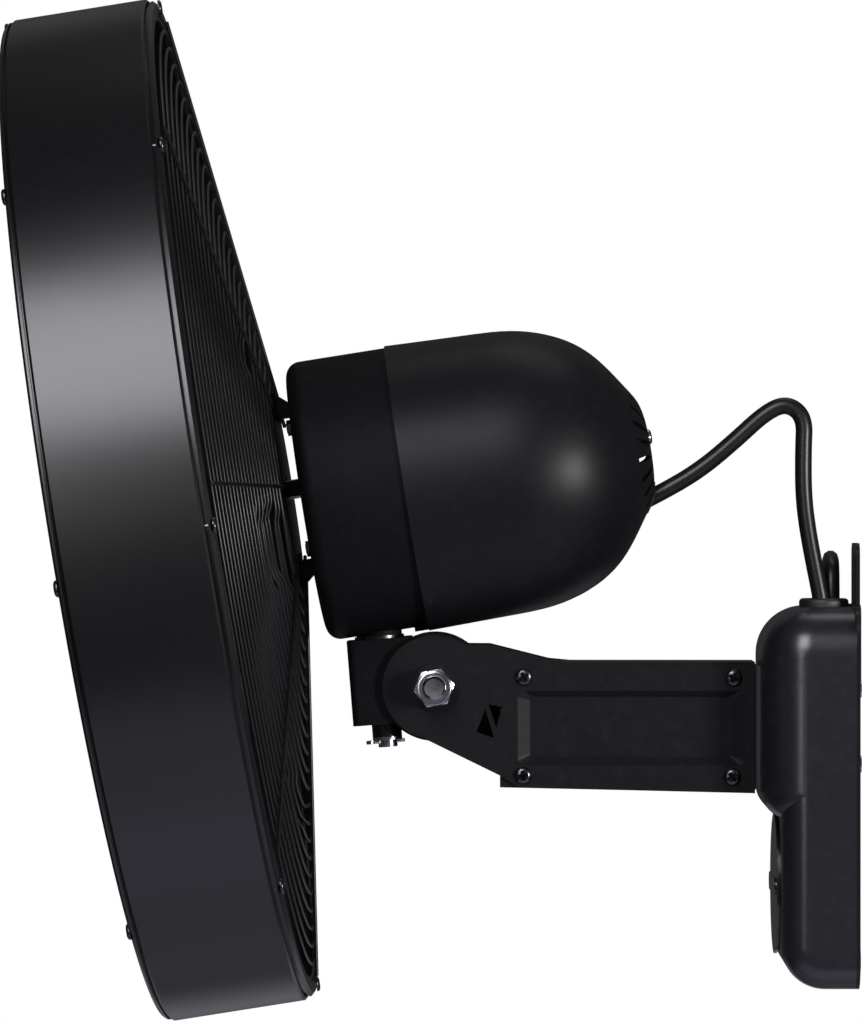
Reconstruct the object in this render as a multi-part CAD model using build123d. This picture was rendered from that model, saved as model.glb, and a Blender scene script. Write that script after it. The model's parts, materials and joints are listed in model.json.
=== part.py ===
from build123d import *
import math
import os

# Wall mounted fan.  Millimetres.  +Z up, +X into the wall, the fan blows towards -X.
# The origin is midway between the two upper wall screws, on the wall.

os.makedirs("parts", exist_ok=True)

# ---------------------------------------------------------------- driving dimensions
SHEET = 2.0                      # pressed steel
HEAVY_SHEET = 3.0                # load carrying brackets
MOULD_WALL = 2.5                 # moulded housing and motor cap
SEAT_GAP = 0.3                   # parts that move past each other
RUN_FIT = 0.05                   # shaft in its bearing, per side
COVER = 1.0                      # how far a cutter passes a face

# head: measured along the drum's axis from the drum's front edge, and out from that axis
DRUM_R = 260.0
DRUM_FRONT = 0.8
DRUM_BACK = 70.1
DRUM_WALL = 1.5
ROLL = 1.2                       # rolled edge
CLAMP_WIDE = 9.0
CLAMP_IN = DRUM_R - CLAMP_WIDE   # inside radius of lips and clamp rings
FRONT_STEP = 1.0
FRONT_RING_R = DRUM_R - FRONT_STEP
RING_PROUD = 2.3
GROOVE = 2.0
REAR_STEP = 1.5
REAR_RING_R = DRUM_R - REAR_STEP
REAR_GROOVE = 1.8
REAR_RING_HIGH = 4.0
REAR_RING_BACK = DRUM_BACK + REAR_RING_HIGH
REAR_RING_ROUND = 1.8
RING_SCREW_COUNT = 8
RING_SCREW_CIRCLE = (FRONT_RING_R + CLAMP_IN) / 2
RING_SCREW_R = 4.0
RING_SCREW_PROUD = 1.9
RING_SCREW_SHANK = 1.9
FRONT_SCREW_TURN = 7.0           # degrees below the near side
REAR_SCREW_TURN = 3.0

WIRE = 2.0
WIRE_SIDES = 24
SPOKE_COUNT = 8
SPOKE_TURN = -1.5                # degrees, so that one spoke lies a little above the near side
SPOKE_LAP = 3.0
RIM_WIDTH = 2.5
PLATE_R = 51.5
REAR_RING_COUNT = 22
WIRE_TO_PLATE = 4.36             # from the smallest ring to the plate's edge
REAR_PITCH = (CLAMP_IN - PLATE_R - WIRE_TO_PLATE) / REAR_RING_COUNT
REAR_SLOPE = 0.131
BADGE_R = 45.0
FRONT_RING_COUNT = 15
WIRE_TO_BADGE = 5.0
FRONT_PITCH = (CLAMP_IN - BADGE_R - WIRE_TO_BADGE) / FRONT_RING_COUNT
FRONT_DOME = 14.0
BADGE_THICK = 2.5
CENTRE_DISC_R = 40.0

PLATE_PROUD = 0.17               # how far the plate stands past the slope of the wires
PLATE_BACK = REAR_RING_BACK + (CLAMP_IN - PLATE_R) * REAR_SLOPE + PLATE_PROUD
PLATE_THICK = 1.5
SHAFT_HOLE_R = 8.0
STAND_OFF_CIRCLE = 43.8
STAND_OFF_LONG = 14.0
STAND_OFF_TOP = 7.2
STAND_OFF_WIDE = 7.7
STAND_OFF_BORE = 3.8             # how far inside its middle the screw runs
STUD_CIRCLE = 31.5
STUD_R = 2.5
STUD_NUT_R = 4.1
STUD_NUT_HIGH = 3.9

# motor pod: its axis runs parallel to the drum's, a little lower
POD_DROP = 7.8
STAND_OFF_HIGH = 8.4
POD_FRONT = PLATE_BACK + STAND_OFF_HIGH
POD_R = 72.3
POD_ROUND = 7.5
POD_WALL = 3.0
SEAM = 161.0
CAP_DROP = 0.9                   # the cap sits this much lower than the shell
CAP_R = 74.2
CAP_MOUTH_R = 73.1               # after the draft, where the dome starts
CAP_STRAIGHT = 205.0
CAP_TIP = 288.3
CAP_CURVE = ((20.0, 71.9), (40.0, 66.65), (60.0, 53.7), (75.0, 33.95))
VENT_COUNT = 20
VENT_IN = 13.0
VENT_OUT = 33.0
VENT_WIDE = 2.6
VENT_CLEAR = 18.0                # degrees either side of the cord that have no slot
CAP_SCREW_OFF = 5.7
CAP_SCREW_LONG = 12.0
CAP_SINK = 0.9
CAP_SEAT = CAP_TIP - CAP_SINK
NUB = (7.3, 6.0, 2.2)

SHAFT_R = 5.0
SHAFT_FRONT = 31.0
STACK_LONG = 40.0
STACK_SET_BACK = 18.6
STACK_FRONT = POD_FRONT + STACK_SET_BACK
STACK_BACK = STACK_FRONT + STACK_LONG
STACK_SQUARE = 100.0
STACK_R = 58.0
STACK_BORE = 28.0
AIR_GAP = 0.5
COIL_RING_IN = 31.0
COIL_RING_OUT = 48.0
COIL_RING_HIGH = 11.0
SHIELD_R = 52.5
SHIELD_RIM = 4.0
REAR_SHIELD = STACK_BACK + COIL_RING_HIGH + SHEET
SHAFT_BACK = REAR_SHIELD - 0.5
BEARING_R = 11.0
BEARING_WIDE = 7.0

BLADE_CLEAR = 23.0
BLADE_TIP = CLAMP_IN - BLADE_CLEAR
BLADE_ROOT = 46.0
BLADE_MID = 40.0
BLADE_PITCH = 24.0
BLADE_CAMBER = 220.0
BLADE_SHEET = 1.5
BLADE_COUNT = 3
BLADE_CORNER = 16.0
BLADE_LEADING = ((0.0, 24.0), (0.35, 50.0), (0.79, 62.0), (1.1, 66.0))     # share of length, width
BLADE_TRAILING = ((0.0, 24.0), (0.35, 44.0), (0.79, 52.0), (1.1, 46.0))
ARM_REACH = 100.0
ARM_WIDE = 36.0
HUB_R = 16.0
HUB_DISC_R = 42.0
HUB_FRONT = 38.0
HUB_BACK = 62.0
HUB_NUT_R = 9.0
RIVET_R = 2.5
RIVET_HEAD_R = 4.5
RIVET_PROUD = 1.6
RIVET_STATIONS = (62.0, 84.0)

# knuckle: measured from the tilt bolt, z along the swivel shaft
BOLT_X = -217.5
BOLT_Z = -60.7
LEAN = 4.6
TILT = 9.03
SWIVEL_X = -26.5
PIVOT_RISE = 109.7
PIVOT_STATION = 141.4
BLOCK_TOP = 26.6
BLOCK_BOTTOM = -17.0
BLOCK_HALF = 16.7
BLOCK_WIDE = 34.0
DISC_R = 27.6
DISC_HALF = 18.0
BUSH_R = 7.6
BUSH_END = -24.0
PIN_R = 4.9
PIN_END = -29.3
PIN_TOP = 41.0
NECK_R = 11.75
NECK_TOP = 44.0
THRUST_THICK = 1.5
SPRING_THICK = 1.6
COTTER_R = 0.9
COTTER_OUT = 4.0

# arm
EAR_R = 26.5
ARM_HALF = 19.0
BOLT_R = 6.0
NUT_R = 10.45
NUT_HIGH = 13.0
NUT_ROUND = 9.0
NUT_TURN = 10.0
BOLT_HEAD_HIGH = 7.5
WASHER_R = 12.0
FRICTION_R = 22.0
TUBE_FRONT = -184.0
TUBE_BACK = -53.7
TUBE_TOP = -47.8
TUBE_LOW_FRONT = -112.0
TUBE_LOW_BACK = -114.8
PAN_OUTER = (-174.9, -58.6, -100.6, -62.5)
PAN_INNER = (-168.6, -65.3, -96.4, -65.7)
PAN_DEPTH = 4.0
ARM_SCREWS = ((-171.8, -55.4), (-64.6, -55.7), (-172.2, -105.7), (-65.3, -106.3))
ARM_SCREW_R = 4.25
ARM_SCREW_PROUD = 2.4
BEAM_TOP = ((16.3, 21.6), (28.4, 21.5), (58.6, 13.9), (85.0, 11.4))       # from the tilt bolt
BEAM_LOW = ((43.2, -51.3), (33.8, -45.3), (-11.1, -23.4))
LANCE_SLOT = ((27.1, -8.6), (34.7, -10.1), (30.1, -25.9), (21.4, -22.9))
LANCE_TONGUE = ((25.0, -8.0), (27.4, -8.0), (33.0, -25.0), (30.6, -26.0))
GASKET_BACK = -51.0
FLANGE_BOLT_Y = 10.0
FLANGE_BOLT_Z = (-62.0, -100.0)
FLANGE_BOLT_R = 3.0
FLANGE_HEX_R = 5.8
FLANGE_HEX_HIGH = 4.0

# wall housing
HOUSING_HALF = 55.0
HOUSING_BACK = -4.2
LOBE_FRONT = -51.0
LOBE_TOP = -19.7
LOBE_LOW = -127.0
LOBE_CORNER = 25.0
LOBE_SIDE = 24.0
LOBE_RIM = 14.0
BODY_FRONT = -41.5
BODY_LOW = -212.8
BODY_HIGH = -60.0
BODY_CORNER = 22.0
BODY_SIDE = 14.0
COVER_BOSS_R = 6.2
COVER_BOSS_PROUD = 1.5
COVER_SCREW_X = -12.7
COVER_SCREW_Y = 20.0
COVER_SCREW_R = 4.0
COVER_SHANK_R = 2.0
KNOB_Z = -162.3
KNOB_R = 35.8
KNOB_PROUD = 2.4
KNOB_RIM = 1.4
GRIP_LONG = 56.0
GRIP_WIDE = 9.0
GRIP_PROUD = 0.4
KNOB_SOCKET = 1.4
SWITCH_R = 15.0
SWITCH_DEEP = 22.0
SWITCH_SHAFT_R = 3.0
SWITCH_NECK_R = 5.0
SIDE_ROOM = 8.0                  # between the cover's inner parts and its outside
TERMINAL_WIDE = 18.0
TERMINAL_LIMITS = (SIDE_ROOM - HOUSING_HALF, SIDE_ROOM + TERMINAL_WIDE - HOUSING_HALF, -190.0, -140.0)
TERMINAL_HIGH = 14.0
TERMINAL_WELLS = 3
WELL_DEEP = 5.0
CAPACITOR_WIDE = 22.0
CAPACITOR_LIMITS = (HOUSING_HALF - SIDE_ROOM - CAPACITOR_WIDE, HOUSING_HALF - SIDE_ROOM, -198.0, -148.0)

# wall plate
TAB_WIDE = 37.0
TAB_TOP = 12.9
TAB_ROUND = 6.0
PAD_HALF = 28.0
PAD_TOP = -18.6
PAD_LOW = -63.0
FOOT_HALF = 25.0
FOOT_TOP = -193.0
FOOT_LOW = -207.0
TOP_HOLE_Y = 10.0
LOW_HOLE_Y = 15.0
LOW_HOLE_Z = -200.0
HOLE_R = 2.75
BRACKET_HALF = 30.0
BRACKET_TOP = -47.0
BRACKET_LOW = -113.0
BRACKET_FOOT = 14.0
BRACKET_RIVET_R = 2.5

# cords
CORD_D = 8.7
LEAD_D = 8.3
GROMMET_X = -17.4
GROMMET_R = 12.75
GROMMET_NECK_R = 10.0
GROMMET_TOP = -15.5
GROMMET_LOW = -24.0
BUSH_FLANGE_R = 6.5
BUSH_LONG = 14.0
BUSH_PROUD = 0.4
TURNS = 5.25
TURN_PITCH = 9.0
COIL_R = 56.5
COIL_Y = 118.0
COIL_Z = -115.0
LAYER_NEAR_WALL = -9.7
LAYER_STEP = 8.9
TIE_WIDE = 8.0
TIE_THICK = 1.2
TIE_GAP = 0.4
LEAD_LAST = 19.5
LEAD_DROP = (0, -16.7, 10.0)
TAIL_FIRST = 14.0
TAIL_LAST = 20.0
RUN_SHARE = 0.45
PLUG_SLEEVE = 18.0
SLEEVE_R = 6.0
PLUG_LONG = 26.0
PLUG_WIDE = 26.0
PLUG_THICK = 14.0
PIN_APART = 13.0
PIN_WIDE = 6.4
PIN_THICK = 1.8
PIN_LONG = 16.0
EARTH_R = 2.2
EARTH_OFF = 4.0

# ---------------------------------------------------------------- frames
KNUCKLE = Plane(
    origin=(BOLT_X, 0, BOLT_Z),
    x_dir=(math.cos(math.radians(LEAN)), 0, math.sin(math.radians(LEAN))),
    z_dir=(-math.sin(math.radians(LEAN)), 0, math.cos(math.radians(LEAN))),
)
DRUM_DIR = Vector(math.cos(math.radians(TILT)), 0, math.sin(math.radians(TILT)))
DRUM_UP = Vector(-math.sin(math.radians(TILT)), 0, math.cos(math.radians(TILT)))
PIVOT = KNUCKLE.from_local_coords(Vector(SWIVEL_X, 0, PIVOT_RISE))
HEAD = Plane(origin=PIVOT - DRUM_DIR * PIVOT_STATION, x_dir=DRUM_UP, z_dir=DRUM_DIR)
POD_AXIS = -POD_DROP
CAP_AXIS = POD_AXIS - CAP_DROP


def on_head(shape):
    return HEAD.location * shape


def on_knuckle(shape):
    return KNUCKLE.location * shape


def from_head(x, y, z):
    return HEAD.from_local_coords(Vector(x, y, z))


# ---------------------------------------------------------------- small helpers
def rod(radius, low, high, x=0.0, y=0.0):
    """A round bar along z between two heights."""
    return Pos(x, y, low) * Cylinder(radius, high - low, align=(Align.CENTER, Align.CENTER, Align.MIN))


def pipe(outer, inner, low, high, x=0.0, y=0.0):
    return rod(outer, low, high, x, y) - rod(inner, low - COVER, high + COVER, x, y)


def block(x0, x1, y0, y1, z0, z1):
    return Pos((x0 + x1) / 2, (y0 + y1) / 2, (z0 + z1) / 2) * Box(x1 - x0, y1 - y0, z1 - z0)


def hexagon(radius, low, high, x=0.0, y=0.0, turn=0.0):
    shape = extrude(RegularPolygon(radius, 6, rotation=turn), high - low)
    return Pos(x, y, low) * shape


def around_x(shape, x=0.0, y=0.0, z=0.0):
    """Turns a piece made along z so that its z runs along +X, then places it."""
    return Pos(x, y, z) * Rot(0, 90, 0) * shape


def around_y(shape, x=0.0, y=0.0, z=0.0):
    """Turns a piece made along z so that its z runs along -Y, then places it."""
    return Pos(x, y, z) * Rot(90, 0, 0) * shape


def pan_head(radius, proud, base, x=0.0, y=0.0):
    """A low head with a sloped edge, that stands on the plane z = base."""
    section = [(0, base), (radius, base), (radius, base + proud * 0.5), (radius * 0.72, base + proud), (0, base + proud)]
    return Pos(x, y, 0) * turned(section)


def ring_places(count, radius, turn):
    """Places round the drum's axis, counted downwards from the near side."""
    places = []
    for k in range(count):
        angle = math.radians(turn + 360.0 * k / count)
        places.append((-radius * math.sin(angle), radius * math.cos(angle)))
    return places


def group(shapes):
    return Compound(children=list(shapes))


def turned(points):
    """A ring turned from its half section, given as (radius, height) points."""
    face = make_face(Polyline([(r, 0, h) for r, h in points], close=True))
    return revolve(face, Axis.Z)


# ---------------------------------------------------------------- drum and rings
def drum():
    skin = DRUM_R - DRUM_WALL
    section = [
        (CLAMP_IN, DRUM_FRONT), (DRUM_R - ROLL, DRUM_FRONT), (DRUM_R, DRUM_FRONT + ROLL),
        (DRUM_R, DRUM_BACK - ROLL), (DRUM_R - ROLL, DRUM_BACK), (CLAMP_IN, DRUM_BACK),
        (CLAMP_IN, DRUM_BACK - DRUM_WALL), (skin, DRUM_BACK - DRUM_WALL),
        (skin, DRUM_FRONT + DRUM_WALL), (CLAMP_IN, DRUM_FRONT + DRUM_WALL),
    ]
    return on_head(turned(section) - screw_shanks(front=True) - screw_shanks(front=False))


def front_ring():
    section = [
        (CLAMP_IN, -RING_PROUD), (FRONT_RING_R - ROLL, -RING_PROUD), (FRONT_RING_R, ROLL - RING_PROUD),
        (FRONT_RING_R, 0), (FRONT_RING_R - GROOVE, 0), (FRONT_RING_R - GROOVE, DRUM_FRONT),
        (CLAMP_IN, DRUM_FRONT),
    ]
    return on_head(turned(section) - screw_shanks(front=True))


def rear_ring():
    neck = DRUM_BACK + REAR_GROOVE
    section = [
        (CLAMP_IN, DRUM_BACK), (REAR_RING_R - GROOVE, DRUM_BACK), (REAR_RING_R - GROOVE, neck),
        (REAR_RING_R, neck), (REAR_RING_R, REAR_RING_BACK - REAR_RING_ROUND),
        (REAR_RING_R - REAR_RING_ROUND, REAR_RING_BACK), (CLAMP_IN, REAR_RING_BACK),
    ]
    return on_head(turned(section) - screw_shanks(front=False))


def screw_shanks(front):
    turn = FRONT_SCREW_TURN if front else REAR_SCREW_TURN
    low = -RING_PROUD if front else DRUM_BACK - 2 * DRUM_WALL
    high = DRUM_FRONT + 2 * DRUM_WALL if front else REAR_RING_BACK
    places = ring_places(RING_SCREW_COUNT, RING_SCREW_CIRCLE, turn)
    return [rod(RING_SCREW_SHANK, low, high, x, y) for x, y in places]


def ring_screws():
    head = pan_head(RING_SCREW_R, RING_SCREW_PROUD, 0)
    screws = []
    front_places = ring_places(RING_SCREW_COUNT, RING_SCREW_CIRCLE, FRONT_SCREW_TURN)
    for (x, y), shank in zip(front_places, screw_shanks(front=True)):
        screws.append(on_head(Pos(x, y, -RING_PROUD) * Rot(180, 0, 0) * head + shank))
    rear_places = ring_places(RING_SCREW_COUNT, RING_SCREW_CIRCLE, REAR_SCREW_TURN)
    for (x, y), shank in zip(rear_places, screw_shanks(front=False)):
        screws.append(on_head(Pos(x, y, REAR_RING_BACK) * head + shank))
    return group(screws)


# ---------------------------------------------------------------- guards
def wire_ring(radius, height):
    """A welded ring, drawn with flat sides so that spokes meet it squarely."""
    outer = (radius + WIRE / 2) / math.cos(math.pi / WIRE_SIDES / 2)
    inner = (radius - WIRE / 2) / math.cos(math.pi / WIRE_SIDES / 2)
    turn = 180.0 / WIRE_SIDES + SPOKE_TURN
    flat = RegularPolygon(outer, WIRE_SIDES, rotation=turn) - RegularPolygon(inner, WIRE_SIDES, rotation=turn)
    return Pos(0, 0, height - WIRE / 2) * extrude(flat, WIRE)


def spoke(points, thick):
    """A flat spoke that follows (radius, height) points, at the near side."""
    back = [(0, r, h + thick) for r, h in points]
    front = [(0, r, h) for r, h in reversed(points)]
    return extrude(make_face(Polyline(back + front, close=True)), WIRE / 2, dir=(1, 0, 0), both=True)


def spokes(points, thick):
    one = spoke(points, thick)
    return [Rot(0, 0, SPOKE_TURN + 360.0 * k / SPOKE_COUNT) * one for k in range(SPOKE_COUNT)]


def rear_wire_height(radius):
    return REAR_RING_BACK + (CLAMP_IN - radius) * REAR_SLOPE


def mount_plate_solid():
    plate = rod(PLATE_R, PLATE_BACK - PLATE_THICK, PLATE_BACK)
    plate -= rod(SHAFT_HOLE_R, PLATE_BACK - 2 * PLATE_THICK, PLATE_BACK + COVER)
    return plate


def rear_guard():
    rim = CLAMP_IN - RIM_WIDTH
    rings = []
    for k in range(REAR_RING_COUNT):
        radius = CLAMP_IN - REAR_PITCH * (k + 1)
        rings.append(wire_ring(radius, rear_wire_height(radius)))
    under = WIRE * 1.3
    inner = PLATE_R - SPOKE_LAP
    line = [(rim + COVER, rear_wire_height(rim) - under), (inner, rear_wire_height(inner) - under * 1.2)]
    frame = pipe(CLAMP_IN, rim, REAR_RING_BACK - WIRE * 1.5, REAR_RING_BACK)
    guard = frame + rings + spokes(line, WIRE)
    return on_head(guard - mount_plate_solid())


def guard_mount_plate():
    plate = mount_plate_solid()
    plate -= [rod(STUD_R, 0, CAP_TIP, x, y) for x, y in mount_screw_places()]
    return on_head(plate)


def front_wire_height(radius):
    return -FRONT_DOME * (1 - (radius / CLAMP_IN) ** 2) - WIRE / 2


def badge_base():
    return front_wire_height(BADGE_R) - WIRE * 0.8


def front_guard():
    rim = CLAMP_IN - RIM_WIDTH
    rings = []
    for k in range(FRONT_RING_COUNT):
        radius = CLAMP_IN - FRONT_PITCH * (k + 1)
        rings.append(wire_ring(radius, front_wire_height(radius)))
    stations = [CENTRE_DISC_R - WIRE, BADGE_R * 2, BADGE_R * 3, BADGE_R * 4, rim + COVER]
    line = [(r, front_wire_height(r) + WIRE * 0.3) for r in stations]
    frame = pipe(CLAMP_IN, rim, -RING_PROUD, DRUM_FRONT)
    disc = rod(CENTRE_DISC_R, badge_base(), badge_base() + WIRE * 1.6)
    guard = frame + rings + spokes(line, WIRE) + disc
    return on_head(guard - rod(BADGE_R + COVER, badge_base() - BADGE_THICK * 2, badge_base()))


def centre_badge():
    badge = rod(BADGE_R, badge_base() - BADGE_THICK, badge_base())
    edge = badge.edges().filter_by(GeomType.CIRCLE).sort_by(Axis.Z)[0]
    return on_head(chamfer(edge, BADGE_THICK * 0.5))


# ---------------------------------------------------------------- stand-offs and studs
def mount_screw_places():
    return ring_places(4, STAND_OFF_CIRCLE - STAND_OFF_BORE, 0)


def stand_off(x, y):
    """An oblong pillar whose outer side leans in towards the motor."""
    reach = STAND_OFF_LONG / 2
    inner = -reach - SEAT_GAP
    side = Polyline([(-reach, 0, PLATE_BACK), (reach, 0, PLATE_BACK),
                     (inner + STAND_OFF_TOP, 0, POD_FRONT), (inner, 0, POD_FRONT)], close=True)
    pillar = extrude(make_face(side), STAND_OFF_WIDE / 2, dir=(0, 1, 0), both=True)
    pillar -= rod(STUD_R, PLATE_BACK - COVER, POD_FRONT + COVER, -STAND_OFF_BORE)
    return Pos(x, y, 0) * Rot(0, 0, math.degrees(math.atan2(y, x))) * pillar


def stand_offs():
    return group(on_head(stand_off(x, y)) for x, y in ring_places(4, STAND_OFF_CIRCLE, 0))


def mount_screws():
    screws = []
    front = PLATE_BACK - PLATE_THICK
    for x, y in mount_screw_places():
        head = Pos(x, y, front) * Rot(180, 0, 0) * pan_head(STUD_NUT_R, PLATE_THICK * 1.6, 0)
        screws.append(on_head(head + rod(STUD_R, front, POD_FRONT + POD_WALL, x, y)))
    return group(screws)


def motor_studs():
    studs = []
    for x, y in ring_places(4, STUD_CIRCLE, 0):
        nut = hexagon(STUD_NUT_R, POD_FRONT - STUD_NUT_HIGH, POD_FRONT, x, y)
        studs.append(on_head(nut + rod(STUD_R, POD_FRONT - STUD_NUT_HIGH - SEAT_GAP, STACK_FRONT, x, y)))
    return group(studs)


# ---------------------------------------------------------------- motor pod
def neck_boss():
    """The round neck that stands on the swivel joint, in the knuckle's frame."""
    return rod(NECK_R, BLOCK_TOP + THRUST_THICK, NECK_TOP, SWIVEL_X)


def pod_front_shell():
    inner_r = POD_R - POD_WALL
    inner_front = POD_FRONT + POD_WALL
    bend = POD_ROUND - POD_WALL
    outer = make_hull_profile(POD_R, POD_FRONT, POD_ROUND, SEAM)
    inner = make_hull_profile(inner_r, inner_front, bend, SEAM + COVER)
    shell = Pos(POD_AXIS, 0, 0) * (revolve(outer, Axis.Z) - revolve(inner, Axis.Z))
    neck = HEAD.location.inverse() * on_knuckle(neck_boss())
    pin = HEAD.location.inverse() * on_knuckle(rod(PIN_R, 0, PIN_TOP, SWIVEL_X))
    tab = Pos(POD_AXIS - POD_R, 0, SEAM - NUB[0] / 2) * Box(NUB[2] * 2, NUB[1], NUB[0])
    shell += tab
    shell += neck
    shell -= pin
    shell -= rod(SHAFT_HOLE_R, POD_FRONT - COVER, inner_front + COVER)
    shell -= [rod(STUD_R, 0, inner_front + COVER, x, y) for x, y in ring_places(4, STUD_CIRCLE, 0)]
    shell -= [rod(STUD_R, 0, inner_front, x, y) for x, y in mount_screw_places()]
    return on_head(shell)


def make_hull_profile(radius, front, bend, back):
    """Half section of a round can with a rounded front edge."""
    flat = Line((0, 0, front), (radius - bend, 0, front))
    shoulder = ThreePointArc(
        (radius - bend, 0, front),
        (radius - bend * (1 - math.sqrt(0.5)), 0, front + bend * (1 - math.sqrt(0.5))),
        (radius, 0, front + bend),
    )
    rest = Polyline((radius, 0, front + bend), (radius, 0, back), (0, 0, back), (0, 0, front))
    return make_face([flat, shoulder, rest])


def dome_profile(inset, back):
    """Half section of the rear cap: a drafted skirt and a domed end, smaller all round by the inset."""
    across = 1 - inset / CAP_R
    along = 1 - inset / (CAP_TIP - SEAM)
    stations = []
    for step, radius in ((0, CAP_MOUTH_R), *CAP_CURVE, (CAP_TIP - CAP_STRAIGHT, 0)):
        stations.append((radius * across, 0, SEAM + (CAP_STRAIGHT + step - SEAM) * along))
    draft = ((CAP_MOUTH_R - CAP_R) * across, 0, (CAP_STRAIGHT - SEAM) * along)
    dome = Spline(stations, tangents=[draft, (-1, 0, 0)])
    skirt = Polyline(stations[-1], (0, 0, back), (CAP_R * across, 0, back), stations[0])
    return make_face([dome, skirt])


def in_cap(inset):
    """The room inside the cap's outline, drawn in from it by the inset."""
    return Pos(CAP_AXIS, 0, 0) * revolve(dome_profile(inset, SEAM), Axis.Z)


def cap_cord_axis():
    """Where the motor cord leaves the dome, and its direction, in the head's frame."""
    start = HEAD.to_local_coords(MOTOR_ROUTE[0])
    ahead = HEAD.to_local_coords(MOTOR_ROUTE[1])
    return start, ahead - start


def cord_hole(radius, reach):
    start, ahead = cap_cord_axis()
    return Plane(origin=start, z_dir=ahead).location * rod(radius, -SEAT_GAP, reach)


def pod_rear_cap():
    cap = revolve(dome_profile(0, SEAM), Axis.Z) - revolve(dome_profile(MOULD_WALL, SEAM - COVER), Axis.Z)
    slot_mid = (VENT_IN + VENT_OUT) / 2
    slot = Pos(slot_mid, 0, CAP_TIP - VENT_OUT / 2) * Box(VENT_OUT - VENT_IN, VENT_WIDE, VENT_OUT)
    turns = [180.0 / VENT_COUNT * (2 * k + 1) for k in range(VENT_COUNT)]
    cap -= [Rot(0, 0, turn) * slot for turn in turns if abs(turn - 180.0) > VENT_CLEAR]
    cap = Pos(CAP_AXIS, 0, 0) * cap
    cap -= rod(STUD_R, CAP_STRAIGHT, CAP_TIP + COVER, CAP_SCREW_OFF - POD_DROP)
    cap -= rod(RING_SCREW_R, CAP_SEAT, CAP_TIP + COVER, CAP_SCREW_OFF - POD_DROP)
    cap -= cord_hole(BUSH_FLANGE_R, 2 * BUSH_LONG)
    return on_head(cap)


def cap_screw():
    x = CAP_SCREW_OFF - POD_DROP
    head = pan_head(RING_SCREW_R, RING_SCREW_PROUD * 1.3, CAP_SEAT, x)
    return on_head(head + rod(STUD_R, CAP_SEAT - CAP_SCREW_LONG, CAP_SEAT, x))


def cap_post():
    """The long pillar, cast on the rear shield, that the screw at the dome's tip goes into."""
    x = CAP_SCREW_OFF - POD_DROP
    post = rod(STUD_R * 1.8, REAR_SHIELD, CAP_TIP, x) & in_cap(MOULD_WALL)
    return post - rod(STUD_R, CAP_SEAT - CAP_SCREW_LONG, CAP_SEAT, x)


def cord_bush():
    start, ahead = cap_cord_axis()
    bore = Plane(origin=start, z_dir=ahead).location * rod(CORD_D / 2, -COVER, BUSH_LONG + COVER)
    bush = cord_hole(BUSH_FLANGE_R, BUSH_LONG) & in_cap(-BUSH_PROUD)
    return on_head(bush - bore)


# ---------------------------------------------------------------- motor
def front_shield():
    base = POD_FRONT + POD_WALL
    shield = rod(SHIELD_R, base, base + POD_WALL)
    shield += pipe(SHIELD_R, SHIELD_R - SHIELD_RIM, base, STACK_FRONT)
    shield += rod(BEARING_R + POD_WALL, base, base + BEARING_WIDE)
    shield -= rod(BEARING_R, base - COVER, base + BEARING_WIDE + COVER)
    shield -= [rod(STUD_R, base - COVER, STACK_FRONT, x, y) for x, y in ring_places(4, STUD_CIRCLE, 0)]
    return on_head(shield)


def rear_shield():
    shield = rod(SHIELD_R, REAR_SHIELD, REAR_SHIELD + POD_WALL)
    shield += pipe(SHIELD_R, SHIELD_R - SHIELD_RIM, STACK_BACK, REAR_SHIELD)
    shield += pipe(BEARING_R + POD_WALL, BEARING_R, REAR_SHIELD - BEARING_WIDE, REAR_SHIELD)
    return on_head(shield + cap_post())


def bearings():
    base = POD_FRONT + POD_WALL
    bore = SHAFT_R + RUN_FIT
    front = pipe(BEARING_R, bore, base, base + BEARING_WIDE)
    rear = pipe(BEARING_R, bore, REAR_SHIELD - BEARING_WIDE, REAR_SHIELD)
    return group([on_head(front), on_head(rear)])


def stator():
    stack = block(-STACK_SQUARE / 2, STACK_SQUARE / 2, -STACK_SQUARE / 2, STACK_SQUARE / 2, STACK_FRONT, STACK_BACK)
    stack = stack & rod(STACK_R, STACK_FRONT, STACK_BACK)
    return on_head(stack - rod(STACK_BORE, STACK_FRONT - COVER, STACK_BACK + COVER))


def windings():
    clear = COIL_RING_IN + STUD_R * 2
    front = pipe(COIL_RING_OUT, clear, STACK_FRONT - COIL_RING_HIGH, STACK_FRONT)
    rear = pipe(COIL_RING_OUT, COIL_RING_IN, STACK_BACK, STACK_BACK + COIL_RING_HIGH)
    return group([on_head(front), on_head(rear)])


def rotor_core():
    return on_head(pipe(STACK_BORE - AIR_GAP, SHAFT_R, STACK_FRONT, STACK_BACK))


def motor_shaft():
    return on_head(rod(SHAFT_R, SHAFT_FRONT, SHAFT_BACK))


# ---------------------------------------------------------------- blades
def camber(offset, thick):
    """A thin curved sheet along +x: its hollow side faces the front guard."""
    pitch = math.radians(BLADE_PITCH)
    normal = Vector(0, -math.sin(pitch), math.cos(pitch))
    centre = Vector(0, 0, BLADE_MID) - normal * BLADE_CAMBER
    inner = BLADE_CAMBER + offset
    tube = Cylinder(inner + thick, 2 * BLADE_TIP) - Cylinder(inner, 2 * BLADE_TIP + COVER)
    return Pos(BLADE_TIP, centre.Y, centre.Z) * Rot(0, 90, 0) * tube


def prism(outline):
    return extrude(outline, BLADE_CAMBER / 2, dir=(0, 0, 1), both=True)


def blade_outline():
    long = BLADE_TIP - BLADE_ROOT
    leading = [(BLADE_ROOT + share * long, width) for share, width in BLADE_LEADING]
    trailing = [(BLADE_ROOT + share * long, -width) for share, width in reversed(BLADE_TRAILING)]
    face = Polygon(leading + trailing, align=None) & Circle(BLADE_TIP)
    tips = face.vertices().sort_by(Axis.X)[-2:]
    return fillet(tips, BLADE_CORNER)


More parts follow.
